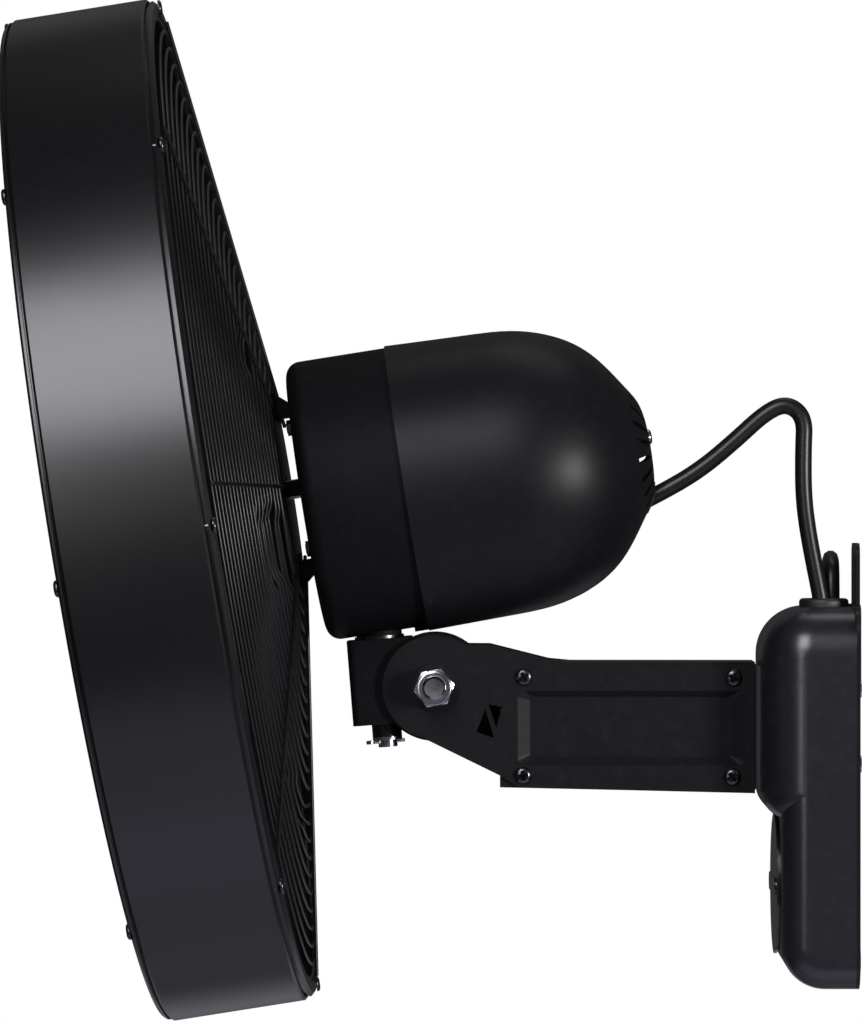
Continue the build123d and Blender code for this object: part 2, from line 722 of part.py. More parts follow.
def rivet_axes():
    pitch = math.radians(BLADE_PITCH)
    normal = Vector(0, -math.sin(pitch), math.cos(pitch))
    return [Plane(origin=(x, 0, BLADE_MID), z_dir=normal) for x in RIVET_STATIONS]


def rivet_shanks():
    return [axis.location * rod(RIVET_R, -RIVET_PROUD, BLADE_SHEET + SHEET + RIVET_PROUD) for axis in rivet_axes()]


def fan_blade(index):
    blade = camber(0, BLADE_SHEET) & prism(blade_outline())
    blade -= rivet_shanks()
    return on_head(Rot(0, 0, 360.0 * index / BLADE_COUNT) * blade)


def blade_hub():
    outline = Pos(ARM_REACH / 2, 0, 0) * RectangleRounded(ARM_REACH, ARM_WIDE, ARM_WIDE / 4)
    arm = camber(BLADE_SHEET, SHEET) & prism(outline)
    arm -= rivet_shanks()
    disc_base = BLADE_MID + BLADE_SHEET
    hub = rod(HUB_DISC_R, disc_base, disc_base + SHEET) + rod(HUB_R, HUB_FRONT, HUB_BACK)
    hub += [Rot(0, 0, 360.0 * k / BLADE_COUNT) * arm for k in range(BLADE_COUNT)]
    hub -= rod(SHAFT_R, HUB_FRONT - COVER, HUB_BACK + COVER)
    return on_head(hub)


def blade_rivets():
    stack = camber(0, BLADE_SHEET + SHEET)
    long = BLADE_SHEET + SHEET + RIVET_PROUD
    rivets = []
    for axis, shank in zip(rivet_axes(), rivet_shanks()):
        heads = axis.location * rod(RIVET_HEAD_R, -RIVET_PROUD, long) - stack
        rivets.append(heads + shank)
    return group(on_head(Rot(0, 0, 360.0 * k / BLADE_COUNT) * one) for k in range(BLADE_COUNT) for one in rivets)


def hub_nut():
    nut = hexagon(HUB_NUT_R, HUB_FRONT - BEARING_WIDE + COVER, HUB_FRONT)
    return on_head(nut - rod(SHAFT_R, SHAFT_FRONT - COVER, HUB_FRONT + COVER))


# ---------------------------------------------------------------- knuckle
def knuckle():
    body = block(SWIVEL_X - BLOCK_HALF, SWIVEL_X + BLOCK_HALF, -BLOCK_WIDE / 2, BLOCK_WIDE / 2,
                 BLOCK_BOTTOM, BLOCK_TOP)
    body = fillet(body.edges().filter_by(Axis.Z).sort_by(Axis.X)[:2], SHEET * 2)
    disc = Pos(0, DISC_HALF, 0) * Rot(90, 0, 0) * rod(DISC_R, 0, 2 * DISC_HALF)
    body = body + disc
    body -= rod(BUSH_R, BUSH_END, BLOCK_TOP + COVER, SWIVEL_X)
    body -= block(SWIVEL_X - BUSH_R - COVER, SWIVEL_X + BUSH_R + COVER, -BUSH_R - COVER, BUSH_R + COVER,
                  BLOCK_BOTTOM - DISC_R, BLOCK_BOTTOM)
    body -= Rot(90, 0, 0) * rod(BOLT_R + RUN_FIT, -DISC_R, DISC_R)
    return on_knuckle(body)


def swivel_bush():
    return on_knuckle(pipe(BUSH_R, PIN_R + RUN_FIT, BUSH_END, BLOCK_TOP, SWIVEL_X))


def thrust_washer():
    return on_knuckle(pipe(NECK_R + COVER, PIN_R + SEAT_GAP, BLOCK_TOP, BLOCK_TOP + THRUST_THICK, SWIVEL_X))


def swivel_pin():
    pin = rod(PIN_R, PIN_END, PIN_TOP, SWIVEL_X)
    return on_knuckle(pin - cotter_bar())


def cotter_height():
    return BUSH_END - SPRING_THICK - COTTER_R


def cotter_bar():
    reach = PIN_R + COTTER_OUT
    return Pos(SWIVEL_X, 0, cotter_height()) * Rot(0, 90, 0) * rod(COTTER_R, -reach, reach)


def cotter_pin():
    eye = pipe(COTTER_R * 2.4, COTTER_R, -COTTER_R, COTTER_R)
    return on_knuckle(cotter_bar() + Pos(SWIVEL_X - PIN_R - COTTER_OUT, 0, cotter_height()) * eye)


def spring_washer():
    return on_knuckle(pipe(BUSH_R, PIN_R + SEAT_GAP, BUSH_END - SPRING_THICK, BUSH_END, SWIVEL_X))


def friction_washers():
    ring = pipe(FRICTION_R, BOLT_R + SEAT_GAP, 0, ARM_HALF - DISC_HALF)
    near = around_y(ring, BOLT_X, -DISC_HALF, BOLT_Z)
    far = around_y(ring, BOLT_X, ARM_HALF, BOLT_Z)
    return group([near, far])


def tilt_bolt():
    face = ARM_HALF + SHEET + SHEET
    shank = rod(BOLT_R, -face, face + NUT_HIGH + SHEET)
    return around_y(shank + hexagon(NUT_R, -face - BOLT_HEAD_HIGH, -face), BOLT_X, 0, BOLT_Z)


def tilt_nut():
    face = ARM_HALF + SHEET + SHEET
    nut = hexagon(NUT_R, face, face + NUT_HIGH * 0.75, turn=NUT_TURN) + rod(NUT_ROUND, face, face + NUT_HIGH)
    return around_y(nut - rod(BOLT_R, face - COVER, face + NUT_HIGH + COVER), BOLT_X, 0, BOLT_Z)


def tilt_washers():
    ring = pipe(WASHER_R, BOLT_R, 0, SHEET)
    near = around_y(ring, BOLT_X, -ARM_HALF - SHEET, BOLT_Z)
    far = around_y(ring, BOLT_X, ARM_HALF + 2 * SHEET, BOLT_Z)
    return group([near, far])


# ---------------------------------------------------------------- arm
def from_bolt(points):
    return [(BOLT_X + x, BOLT_Z + z) for x, z in points]


def beam_outline():
    """Side view of the deep beam that each ear runs into."""
    top = from_bolt(BEAM_TOP)
    low = from_bolt(BEAM_LOW)
    back = [(TUBE_BACK, top[-1][1]), (TUBE_BACK, TUBE_LOW_BACK), (low[0][0], TUBE_LOW_FRONT)]
    return Polygon(top + back + low[1:] + [(BOLT_X, BOLT_Z)], align=None)


def lance_outline():
    return Polygon(from_bolt(LANCE_SLOT), align=None) - Polygon(from_bolt(LANCE_TONGUE), align=None)


def rounded_window(limits, round_r):
    x0, x1, z0, z1 = limits
    return Pos((x0 + x1) / 2, (z0 + z1) / 2) * RectangleRounded(x1 - x0, z1 - z0, round_r)


def pan_cutter(side):
    """The sunk panel's tapered pocket, from its floor out past the arm plate."""
    outer = ARM_HALF + SHEET
    floor = stand_up(rounded_window(PAN_INNER, SHEET), side * (outer - PAN_DEPTH))
    mouth = stand_up(rounded_window(PAN_OUTER, SHEET * 2), side * outer)
    return loft([floor, mouth])


def stand_up(sketch, y):
    """Turns an (x, z) drawing upright, on the plane at Y = y."""
    return Pos(0, y, 0) * Rot(90, 0, 0) * sketch


def arm_plate(side):
    near, far = sorted((side * ARM_HALF, side * (ARM_HALF + SHEET)))
    plate = extrude(stand_up(beam_outline(), near), SHEET, dir=(0, 1, 0))
    plate += extrude(stand_up(Pos(BOLT_X, BOLT_Z) * Circle(EAR_R), near), SHEET, dir=(0, 1, 0))
    if side < 0:
        plate -= extrude(stand_up(lance_outline(), near - COVER), far - near + 2 * COVER, dir=(0, 1, 0))
    plate -= pan_cutter(side)
    plate -= around_y(rod(BOLT_R, -BLOCK_WIDE, BLOCK_WIDE), BOLT_X, 0, BOLT_Z)
    plate -= arm_screw_shanks()
    return plate


def arm_screw_shanks():
    return [around_y(rod(SHEET, -ARM_HALF - SHEET, ARM_HALF + SHEET), x, 0, z) for x, z in ARM_SCREWS]


def tube_section(inset):
    return Polygon([
        (TUBE_FRONT, TUBE_TOP - inset), (TUBE_BACK, TUBE_TOP - inset),
        (TUBE_BACK, TUBE_LOW_BACK + inset), (TUBE_FRONT, TUBE_LOW_FRONT + inset),
    ], align=None)


def arm_channel():
    """The folded box of the arm, with its sunk side panels and its end flange."""
    skin = extrude(stand_up(tube_section(0), -ARM_HALF), 2 * ARM_HALF, dir=(0, 1, 0))
    hollow = ARM_HALF - SHEET
    skin -= extrude(stand_up(tube_section(SHEET), -hollow), 2 * hollow, dir=(0, 1, 0))
    floor = ARM_HALF + SHEET - PAN_DEPTH
    x0, x1, z0, z1 = PAN_INNER
    for side in (1, -1):
        low, high = sorted((side * (floor - SHEET), side * hollow))
        skin += block(x0 - SHEET * 2, x1 + SHEET * 2, low, high, z0 - SHEET, z1 + SHEET)
        skin -= pan_cutter(side)
    skin += block(TUBE_BACK - HEAVY_SHEET, TUBE_BACK, -hollow, hollow, TUBE_LOW_BACK + SHEET, TUBE_TOP - SHEET)
    skin -= flange_bolt_shanks()
    skin -= [around_y(rod(SHEET, ARM_HALF - 2 * SHEET, ARM_HALF + SHEET), x, 0, z) for x, z in ARM_SCREWS]
    skin -= [around_y(rod(SHEET, -ARM_HALF - SHEET, -ARM_HALF + 2 * SHEET), x, 0, z) for x, z in ARM_SCREWS]
    return skin


def arm_screws():
    face = ARM_HALF + SHEET
    near = pan_head(ARM_SCREW_R, ARM_SCREW_PROUD, face) + rod(SHEET, face - 3 * SHEET, face)
    screws = [around_y(near, x, 0, z) for x, z in ARM_SCREWS]
    screws += [Pos(x, 0, z) * Rot(-90, 0, 0) * near for x, z in ARM_SCREWS]
    return group(screws)


def flange_bolt_places():
    return [(y, z) for z in FLANGE_BOLT_Z for y in (-FLANGE_BOLT_Y, FLANGE_BOLT_Y)]


def web_back():
    return LOBE_FRONT + MOULD_WALL + HEAVY_SHEET


def flange_bolt_shanks():
    head = TUBE_BACK - HEAVY_SHEET
    tip = web_back() + FLANGE_HEX_HIGH + SHEET
    return [around_x(rod(FLANGE_BOLT_R, 0, tip - head), head, y, z) for y, z in flange_bolt_places()]


def flange_bolts():
    bolts = []
    for (y, z), shank in zip(flange_bolt_places(), flange_bolt_shanks()):
        head = around_x(hexagon(FLANGE_HEX_R, -FLANGE_HEX_HIGH, 0), TUBE_BACK - HEAVY_SHEET, y, z)
        nut = around_x(hexagon(FLANGE_HEX_R, 0, FLANGE_HEX_HIGH), web_back(), y, z)
        bolts.append(head + shank + nut)
    return group(bolts)


def arm_gasket():
    pad = block(TUBE_BACK, GASKET_BACK, -ARM_HALF, ARM_HALF, TUBE_LOW_BACK + SHEET, TUBE_TOP - SHEET)
    return pad - flange_bolt_shanks()


# ---------------------------------------------------------------- wall housing
def near_value(value, target):
    return abs(value - target) < 0.01


def moulding(front, low, high, corner, side, half, back, corner_up):
    """A box with one rounded long corner and rounded side outlines, open at the wall."""
    body = block(front, back, -half, half, low, high)
    level = high if corner_up else low
    long_edges = [e for e in body.edges().filter_by(Axis.Y)
                  if near_value(e.center().X, front) and near_value(e.center().Z, level)]
    body = fillet(long_edges, corner)
    far_level = low if corner_up else high
    chain = [e for e in body.edges()
             if near_value(abs(e.center().Y), half) and e.center().X < back - COVER / 2
             and not near_value(e.center().Z, far_level)]
    return fillet(chain, side)


def housing_form(inset, back):
    lobe = moulding(LOBE_FRONT + inset, LOBE_LOW + inset, LOBE_TOP - inset, LOBE_CORNER - inset,
                    LOBE_SIDE - inset, HOUSING_HALF - inset, back, True)
    rim = [e for e in lobe.edges()
           if near_value(e.center().Z, LOBE_LOW + inset) and e.center().X < back - COVER / 2]
    lobe = fillet(rim, LOBE_RIM - inset)
    body = moulding(BODY_FRONT + inset, BODY_LOW + inset, BODY_HIGH, BODY_CORNER - inset,
                    BODY_SIDE - inset, HOUSING_HALF - inset, back, False)
    return lobe + body


def cover_screw_shanks():
    high = BODY_LOW + MOULD_WALL + SHEET * 3
    return [rod(COVER_SHANK_R, BODY_LOW - COVER_BOSS_PROUD, high, COVER_SCREW_X, y)
            for y in (-COVER_SCREW_Y, COVER_SCREW_Y)]


def screw_pocket_top():
    return BODY_LOW + MOULD_WALL - SHEET


def housing_cover():
    cover = housing_form(0, HOUSING_BACK)
    boss_low = BODY_LOW - COVER_BOSS_PROUD
    for y in (-COVER_SCREW_Y, COVER_SCREW_Y):
        cover += rod(COVER_BOSS_R, boss_low, BODY_LOW + COVER, COVER_SCREW_X, y)
    cover -= housing_form(MOULD_WALL, HOUSING_BACK + COVER)
    for y in (-COVER_SCREW_Y, COVER_SCREW_Y):
        cover -= rod(COVER_SCREW_R + SEAT_GAP, boss_low - COVER, screw_pocket_top(), COVER_SCREW_X, y)
    cover -= cover_screw_shanks()
    cover -= flange_bolt_shanks()
    cover -= rod(GROMMET_NECK_R, GROMMET_LOW - COVER, GROMMET_TOP, GROMMET_X)
    cover -= around_x(rod(SWITCH_NECK_R, -COVER, MOULD_WALL + COVER), BODY_FRONT, 0, KNOB_Z)
    return cover


def cover_screws():
    screws = []
    for y, shank in zip((-COVER_SCREW_Y, COVER_SCREW_Y), cover_screw_shanks()):
        head_high = screw_pocket_top() - BODY_LOW + COVER_BOSS_PROUD - SEAT_GAP
        head = Pos(COVER_SCREW_X, y, screw_pocket_top()) * Rot(180, 0, 0) * pan_head(COVER_SCREW_R, head_high, 0)
        above = shank & block(-HOUSING_HALF, 0, -HOUSING_HALF, HOUSING_HALF, screw_pocket_top(), 0)
        screws.append(head + above)
    return group(screws)


def rotary_switch():
    inner = BODY_FRONT + MOULD_WALL
    body = rod(SWITCH_R, 0, SWITCH_DEEP) + rod(SWITCH_NECK_R, -MOULD_WALL, 0)
    body -= rod(SWITCH_SHAFT_R + RUN_FIT, -MOULD_WALL - COVER, SWITCH_DEEP * 0.7)
    return around_x(body, inner, 0, KNOB_Z)


def switch_shaft():
    reach = SEAT_GAP + KNOB_SOCKET
    shaft = rod(SWITCH_SHAFT_R, -MOULD_WALL - reach, SWITCH_DEEP * 0.7 - SEAT_GAP)
    return around_x(shaft, BODY_FRONT + MOULD_WALL, 0, KNOB_Z)


def speed_knob():
    """A shallow domed dial with a raised grip across it."""
    proud = KNOB_PROUD - SEAT_GAP
    rim = Line((0, 0, 0), (KNOB_R, 0, 0))
    wall = Line((KNOB_R, 0, 0), (KNOB_R, 0, -KNOB_RIM))
    crown = ThreePointArc((KNOB_R, 0, -KNOB_RIM), (KNOB_R * 0.55, 0, -proud * 0.86), (0, 0, -proud))
    knob = revolve(make_face([rim, wall, crown, Line((0, 0, -proud), (0, 0, 0))]), Axis.Z)
    grip = extrude(RectangleRounded(GRIP_WIDE, GRIP_LONG, GRIP_WIDE / 2 - SEAT_GAP), -proud - GRIP_PROUD)
    knob += grip
    knob -= rod(SWITCH_SHAFT_R, -KNOB_SOCKET, COVER)
    return around_x(knob, BODY_FRONT - SEAT_GAP, 0, KNOB_Z)


def cord_grommet():
    flange = rod(GROMMET_R, LOBE_TOP, GROMMET_TOP, GROMMET_X)
    flange = fillet(flange.edges().filter_by(GeomType.CIRCLE).sort_by(Axis.Z)[-1], SHEET)
    plug = flange + rod(GROMMET_NECK_R, GROMMET_LOW, LOBE_TOP, GROMMET_X)
    motor_end = MOTOR_ROUTE[-1]
    way = motor_end - MOTOR_ROUTE[-2]
    bore = Plane(origin=motor_end, z_dir=way).location * rod(CORD_D / 2 + SEAT_GAP, -BUSH_R * 4, BUSH_R * 4)
    lead = rod(LEAD_D / 2, GROMMET_LOW - COVER, GROMMET_TOP + COVER, LEAD_ROUTE[0].X, LEAD_ROUTE[0].Y)
    return plug - bore - lead


# ---------------------------------------------------------------- wall plate and inner parts
def slab(outline, front, back):
    """An outline drawn as (y, z), made into a plate between two X planes."""
    upright = Plane(origin=(front, 0, 0), x_dir=(0, 1, 0), z_dir=(1, 0, 0))
    return extrude(upright * outline, back - front)


def y_z_box(half, low, high, round_r):
    return Pos(0, (low + high) / 2) * RectangleRounded(2 * half, high - low, round_r)


def wall_plate():
    back = HOUSING_BACK + SHEET
    panel = slab(y_z_box(HOUSING_HALF, BODY_LOW, LOBE_TOP, BODY_SIDE), HOUSING_BACK, back)
    pads = slab(y_z_box(PAD_HALF, PAD_LOW, PAD_TOP, TAB_ROUND), HOUSING_BACK, 0)
    pads += slab(y_z_box(FOOT_HALF, FOOT_LOW, FOOT_TOP, TAB_ROUND), HOUSING_BACK, 0)
    plate = panel + pads
    plate += slab(y_z_box(TAB_WIDE / 2, PAD_LOW / 2, TAB_TOP, TAB_ROUND), -SHEET, 0)
    hollow = slab(y_z_box(PAD_HALF - SHEET, PAD_LOW + SHEET, PAD_TOP - SHEET, TAB_ROUND - SHEET),
                  HOUSING_BACK - COVER, -SHEET)
    hollow += slab(y_z_box(FOOT_HALF - SHEET, FOOT_LOW + SHEET, FOOT_TOP - SHEET, TAB_ROUND - SHEET),
                   HOUSING_BACK - COVER, -SHEET)
    plate -= hollow
    inner_low = BODY_LOW + MOULD_WALL
    plate += block(COVER_SCREW_X * 1.5, back, -BRACKET_HALF, BRACKET_HALF, inner_low, inner_low + SHEET)
    inner_top = LOBE_TOP - MOULD_WALL
    for side in (-1, 1):
        y0, y1 = sorted((side * GROMMET_R * 1.3, side * GROMMET_R * 2.2))
        plate += block(COVER_SCREW_X, back, y0, y1, inner_top - SHEET, inner_top)
    holes = [around_x(rod(HOLE_R, -COVER, 2 * SHEET), -SHEET, y, 0) for y in (-TOP_HOLE_Y, TOP_HOLE_Y)]
    holes += [around_x(rod(HOLE_R, -COVER, 2 * SHEET), -SHEET, y, LOW_HOLE_Z) for y in (-LOW_HOLE_Y, LOW_HOLE_Y)]
    plate -= holes
    plate -= cover_screw_shanks()
    plate -= bracket_rivet_shanks()
    return plate


def bracket_rivet_places():
    y = BRACKET_HALF + BRACKET_FOOT / 2
    inset = BRACKET_FOOT
    return [(side * y, z) for side in (-1, 1) for z in (BRACKET_LOW + inset, BRACKET_TOP - inset)]


def bracket_rivet_shanks():
    return [around_x(rod(BRACKET_RIVET_R, -HEAVY_SHEET, SHEET), HOUSING_BACK, y, z)
            for y, z in bracket_rivet_places()]


def bracket_rivets():
    rivets = []
    for (y, z), shank in zip(bracket_rivet_places(), bracket_rivet_shanks()):
        front = around_x(rod(BRACKET_RIVET_R * 1.7, -HEAVY_SHEET - SHEET, -HEAVY_SHEET), HOUSING_BACK, y, z)
        back = around_x(rod(BRACKET_RIVET_R * 1.7, SHEET, SHEET + RIVET_PROUD), HOUSING_BACK, y, z)
        rivets.append(front + shank + back)
    return group(rivets)


def arm_bracket():
    """A steel hat section: its web takes the arm, its two feet are riveted to the plate."""
    web_front = LOBE_FRONT + MOULD_WALL
    bracket = block(web_front, web_back(), -BRACKET_HALF, BRACKET_HALF, BRACKET_LOW, BRACKET_TOP)
    for side in (-1, 1):
        leg = sorted((side * (BRACKET_HALF - HEAVY_SHEET), side * BRACKET_HALF))
        foot = sorted((side * (BRACKET_HALF - HEAVY_SHEET), side * (BRACKET_HALF + BRACKET_FOOT)))
        bracket += block(web_front, HOUSING_BACK, leg[0], leg[1], BRACKET_LOW, BRACKET_TOP)
        bracket += block(HOUSING_BACK - HEAVY_SHEET, HOUSING_BACK, foot[0], foot[1], BRACKET_LOW, BRACKET_TOP)
    bracket -= flange_bolt_shanks()
    bracket -= bracket_rivet_shanks()
    return bracket


def terminal_block():
    """A strip on the plate with a row of wire wells."""
    y0, y1, z0, z1 = TERMINAL_LIMITS
    base = block(HOUSING_BACK - TERMINAL_HIGH, HOUSING_BACK, y0, y1, z0, z1)
    pitch = (z1 - z0 - SHEET) / TERMINAL_WELLS
    for k in range(TERMINAL_WELLS):
        low = z0 + SHEET + pitch * k
        base -= block(HOUSING_BACK - TERMINAL_HIGH - COVER, HOUSING_BACK - TERMINAL_HIGH + WELL_DEEP,
                      y0 + SHEET, y1 - SHEET, low, low + pitch - SHEET)
    return base


def run_capacitor():
    y0, y1, z0, z1 = CAPACITOR_LIMITS
    case = block(HOUSING_BACK - TERMINAL_HIGH, HOUSING_BACK, y0, y1, z0, z1)
    return fillet(case.edges().filter_by(Axis.X), HEAVY_SHEET)


# ---------------------------------------------------------------- cords
MOTOR_ROUTE = [Vector(*p) for p in (
    (-113.2, 0, 32.7), (-97.5, 0, 40.6), (-80.0, 0, 51.3), (-63.5, 0, 65.2), (-47.4, 0, 80.1),
    (-36.2, 0, 84.9), (-27.2, -0.5, 77.6), (-28.0, -1.5, 60.8), (-28.0, -2.5, 37.6), (-25.8, -3.5, 19.1),
    (-22.2, -4.3, 0.0), (-18.9, -4.8, -16.5), (-18.3, -4.9, -23.5),
)]

LEAD_X = -13.1
LEAD_ROUTE = [Vector(*p) for p in (
    (LEAD_X, 3.5, GROMMET_LOW), (LEAD_X, 3.5, -5.5), (LEAD_X + 0.4, 14.5, 4.3), (-11.9, 36.0, 5.2),
    (-10.8, 57.0, -7.5), (-10.2, 71.3, -29.5),
)]


def tangent_cord(points, diameter):
    """A round cord on straight runs joined by arcs as wide as the runs allow."""
    radii = []
    for before, here, after in zip(points, points[1:], points[2:]):
        first = here - before
        second = after - here
        turn = math.radians(first.get_angle(second))
        radii.append(RUN_SHARE * min(first.length, second.length) / math.tan(turn / 2))
    path = FilletPolyline(*points, radius=radii)
    print("cord radii", [round(r, 1) for r in radii], "length", round(path.length, 1))
    section = Plane(origin=path @ 0, z_dir=path % 0) * Circle(diameter / 2)
    tube = sweep(section, path=path)
    print("volume", round(tube.volume), "of", round(path.length * math.pi * diameter ** 2 / 4))
    return tube


def coil_radius(turn):
    return COIL_R - TURN_PITCH * min(turn, TURNS - turn)


def coil_point(turn):
    """Where the coiled lead is after so many turns: in on one layer, out on the next."""
    angle = 2 * math.pi * turn
    climb = min(max((turn - TURNS / 2) * 2 + 0.5, 0.0), 1.0)
    layer = LAYER_NEAR_WALL - LAYER_STEP * (1 - math.cos(math.pi * climb)) / 2
    radius = coil_radius(turn)
    return Vector(layer, COIL_Y + radius * math.sin(angle), COIL_Z + radius * math.cos(angle))


def coil_heading(turn):
    step = 0.01
    return (coil_point(turn + step) - coil_point(turn - step)).normalized()


def two_arcs(start, start_way, end, end_way):
    """Two arcs that leave and arrive along the given directions."""
    across = end - start
    both = start_way + end_way
    spread = 2 * (1 - start_way.dot(end_way))
    along = across.dot(both)
    reach = (math.sqrt(along ** 2 + spread * across.dot(across)) - along) / spread
    middle = (start + end + (start_way - end_way) * reach) * 0.5
    first = TangentArc(start, middle, tangent=start_way)
    return [first, TangentArc(middle, end, tangent=first % 1)]


def coil_path():
    quarters = int(TURNS * 4)
    edges = []
    for k in range(quarters):
        turn, after = k / 4, (k + 1) / 4
        edges += two_arcs(coil_point(turn), coil_heading(turn), coil_point(after), coil_heading(after))
    leave, way = coil_point(TURNS), coil_heading(TURNS)
    edges += two_arcs(leave, way, leave + way * TAIL_FIRST, Vector(0, 0, -1))
    edges.append(Line(leave + way * TAIL_FIRST, tail_end()))
    return Wire(edges)


def mains_coil():
    path = coil_path()
    section = Plane(origin=coil_point(0), z_dir=coil_heading(0)) * RegularPolygon(LEAD_D / 2, 6)
    tube = sweep(section, path=path)
    print("coil length", round(path.length, 1), "least gap", round(coil_gap() - LEAD_D, 2))
    return tube


def coil_gap():
    """Least distance between turns, centre to centre."""
    count = int(TURNS * 48)
    points = [coil_point(TURNS * k / count) for k in range(count + 1)]
    apart = count / TURNS / 2
    return min((a - b).length for i, a in enumerate(points) for j, b in enumerate(points) if j - i > apart)


def mains_lead():
    entry = coil_point(0)
    heading = coil_heading(0)
    corner = entry - heading * LEAD_LAST
    points = LEAD_ROUTE + [corner + Vector(*LEAD_DROP), corner, entry]
    return tangent_cord(points, LEAD_D)


def tail_end():
    return coil_point(TURNS) + coil_heading(TURNS) * TAIL_FIRST + Vector(0, 0, -TAIL_LAST)


def coil_tie():
    """A strap round the whole bundle at the bottom of the coil."""
    spare = LEAD_D / 2 + TIE_GAP
    inner_low = COIL_Z - COIL_R + TURN_PITCH / 2 - spare
    inner_high = COIL_Z - coil_radius(TURNS / 2) + spare + TURN_PITCH * 0.2
    x_wall = LAYER_NEAR_WALL + spare
    x_room = LAYER_NEAR_WALL - LAYER_STEP - spare
    y0, y1 = COIL_Y - TIE_WIDE / 2, COIL_Y + TIE_WIDE / 2
    strap = block(x_room - TIE_THICK, x_wall + TIE_THICK, y0, y1, inner_low - TIE_THICK, inner_high + TIE_THICK)
    return strap - block(x_room, x_wall, y0 - COVER, y1 + COVER, inner_low, inner_high)


def mains_plug():
    """A plain moulded plug with three pins, hanging from the tail."""
    face = -PLUG_SLEEVE - PLUG_LONG
    body = extrude(RectangleRounded(PLUG_THICK, PLUG_WIDE, PLUG_THICK / 2 - SHEET), -PLUG_LONG)
    plug = Pos(0, 0, -PLUG_SLEEVE) * body + rod(SLEEVE_R, -PLUG_SLEEVE, 0)
    for y in (-PIN_APART / 2, PIN_APART / 2):
        plug += block(-PIN_THICK / 2, PIN_THICK / 2, y - PIN_WIDE / 2, y + PIN_WIDE / 2, face - PIN_LONG, face + COVER)
    plug += rod(EARTH_R, face - PIN_LONG - SHEET, face + COVER, EARTH_OFF)
    return Pos(tail_end()) * plug


def motor_cord():
    return tangent_cord(MOTOR_ROUTE, CORD_D)


# ---------------------------------------------------------------- every node
NODES = {
    "wall_plate": wall_plate,
    "housing_cover": housing_cover,
    "cover_screws": cover_screws,
    "cord_grommet": cord_grommet,
    "rotary_switch": rotary_switch,
    "switch_shaft": switch_shaft,
    "speed_knob": speed_knob,
    "terminal_block": terminal_block,
    "run_capacitor": run_capacitor,
    "arm_bracket": arm_bracket,
    "bracket_rivets": bracket_rivets,
    "arm_flange_bolts": flange_bolts,
    "arm_gasket": arm_gasket,
    "arm_channel": arm_channel,
    "arm_plate_near": lambda: arm_plate(-1),
    "arm_plate_far": lambda: arm_plate(1),
    "arm_screws": arm_screws,
    "tilt_bolt": tilt_bolt,
    "tilt_nut": tilt_nut,
    "tilt_washers": tilt_washers,
    "friction_washers": friction_washers,
    "knuckle": knuckle,
    "swivel_bush": swivel_bush,
    "thrust_washer": thrust_washer,
    "swivel_pin": swivel_pin,
    "spring_washer": spring_washer,
    "cotter_pin": cotter_pin,
    "pod_front_shell": pod_front_shell,
    "pod_rear_cap": pod_rear_cap,
    "cap_screw": cap_screw,
    "cord_bush": cord_bush,
    "motor_front_shield": front_shield,
    "motor_rear_shield": rear_shield,
    "motor_bearings": bearings,
    "stator": stator,
    "windings": windings,
    "motor_studs": motor_studs,
    "rotor_core": rotor_core,
    "motor_shaft": motor_shaft,
    "guard_mount_plate": guard_mount_plate,
    "guard_stand_offs": stand_offs,
    "guard_mount_screws": mount_screws,
    "drum": drum,
    "front_ring": front_ring,
    "rear_ring": rear_ring,
    "ring_screws": ring_screws,
    "rear_guard": rear_guard,
    "front_guard": front_guard,
    "centre_badge": centre_badge,
    "blade_hub": blade_hub,
    "blade_1": lambda: fan_blade(0),
    "blade_2": lambda: fan_blade(1),
    "blade_3": lambda: fan_blade(2),
    "blade_rivets": blade_rivets,
    "hub_nut": hub_nut,
    "motor_cord": motor_cord,
    "mains_lead": mains_lead,
    "mains_coil": mains_coil,
    "coil_tie": coil_tie,
    "mains_plug": mains_plug,
}

for name, make in NODES.items():
    export_step(make(), "parts/" + name + ".step")
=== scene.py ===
import json
import math

import bmesh
import bpy
from mathutils import Matrix, Vector


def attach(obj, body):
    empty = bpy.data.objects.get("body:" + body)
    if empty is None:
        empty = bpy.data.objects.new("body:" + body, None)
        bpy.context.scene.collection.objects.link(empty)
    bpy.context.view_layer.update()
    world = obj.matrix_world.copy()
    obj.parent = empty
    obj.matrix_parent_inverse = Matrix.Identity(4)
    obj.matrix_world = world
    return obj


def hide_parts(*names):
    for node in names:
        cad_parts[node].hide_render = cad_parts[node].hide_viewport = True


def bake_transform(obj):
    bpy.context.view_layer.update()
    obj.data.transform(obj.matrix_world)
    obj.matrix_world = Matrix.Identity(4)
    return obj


# Wall mounted fan: the looks around the CAD frame.  Metres, Z up, +X into the wall.

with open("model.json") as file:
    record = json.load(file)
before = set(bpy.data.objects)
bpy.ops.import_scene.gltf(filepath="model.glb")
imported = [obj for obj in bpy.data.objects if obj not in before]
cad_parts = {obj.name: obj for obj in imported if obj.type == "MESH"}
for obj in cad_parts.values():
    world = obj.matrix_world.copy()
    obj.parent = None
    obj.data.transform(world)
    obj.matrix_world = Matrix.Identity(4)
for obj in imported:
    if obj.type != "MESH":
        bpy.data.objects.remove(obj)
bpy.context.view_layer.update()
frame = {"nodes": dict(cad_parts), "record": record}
nodes = frame["nodes"]
scene = bpy.context.scene

# ---------------------------------------------------------------- sizes shared by pieces
TILT = math.radians(9.03)             # the drum leans back
LEAN = math.radians(4.6)              # the swivel shaft leans forwards
BOLT = Vector((-0.2175, 0, -0.0607))
SWIVEL_X = -0.0265
PIVOT_RISE = 0.1097
PIVOT_STATION = 0.1414

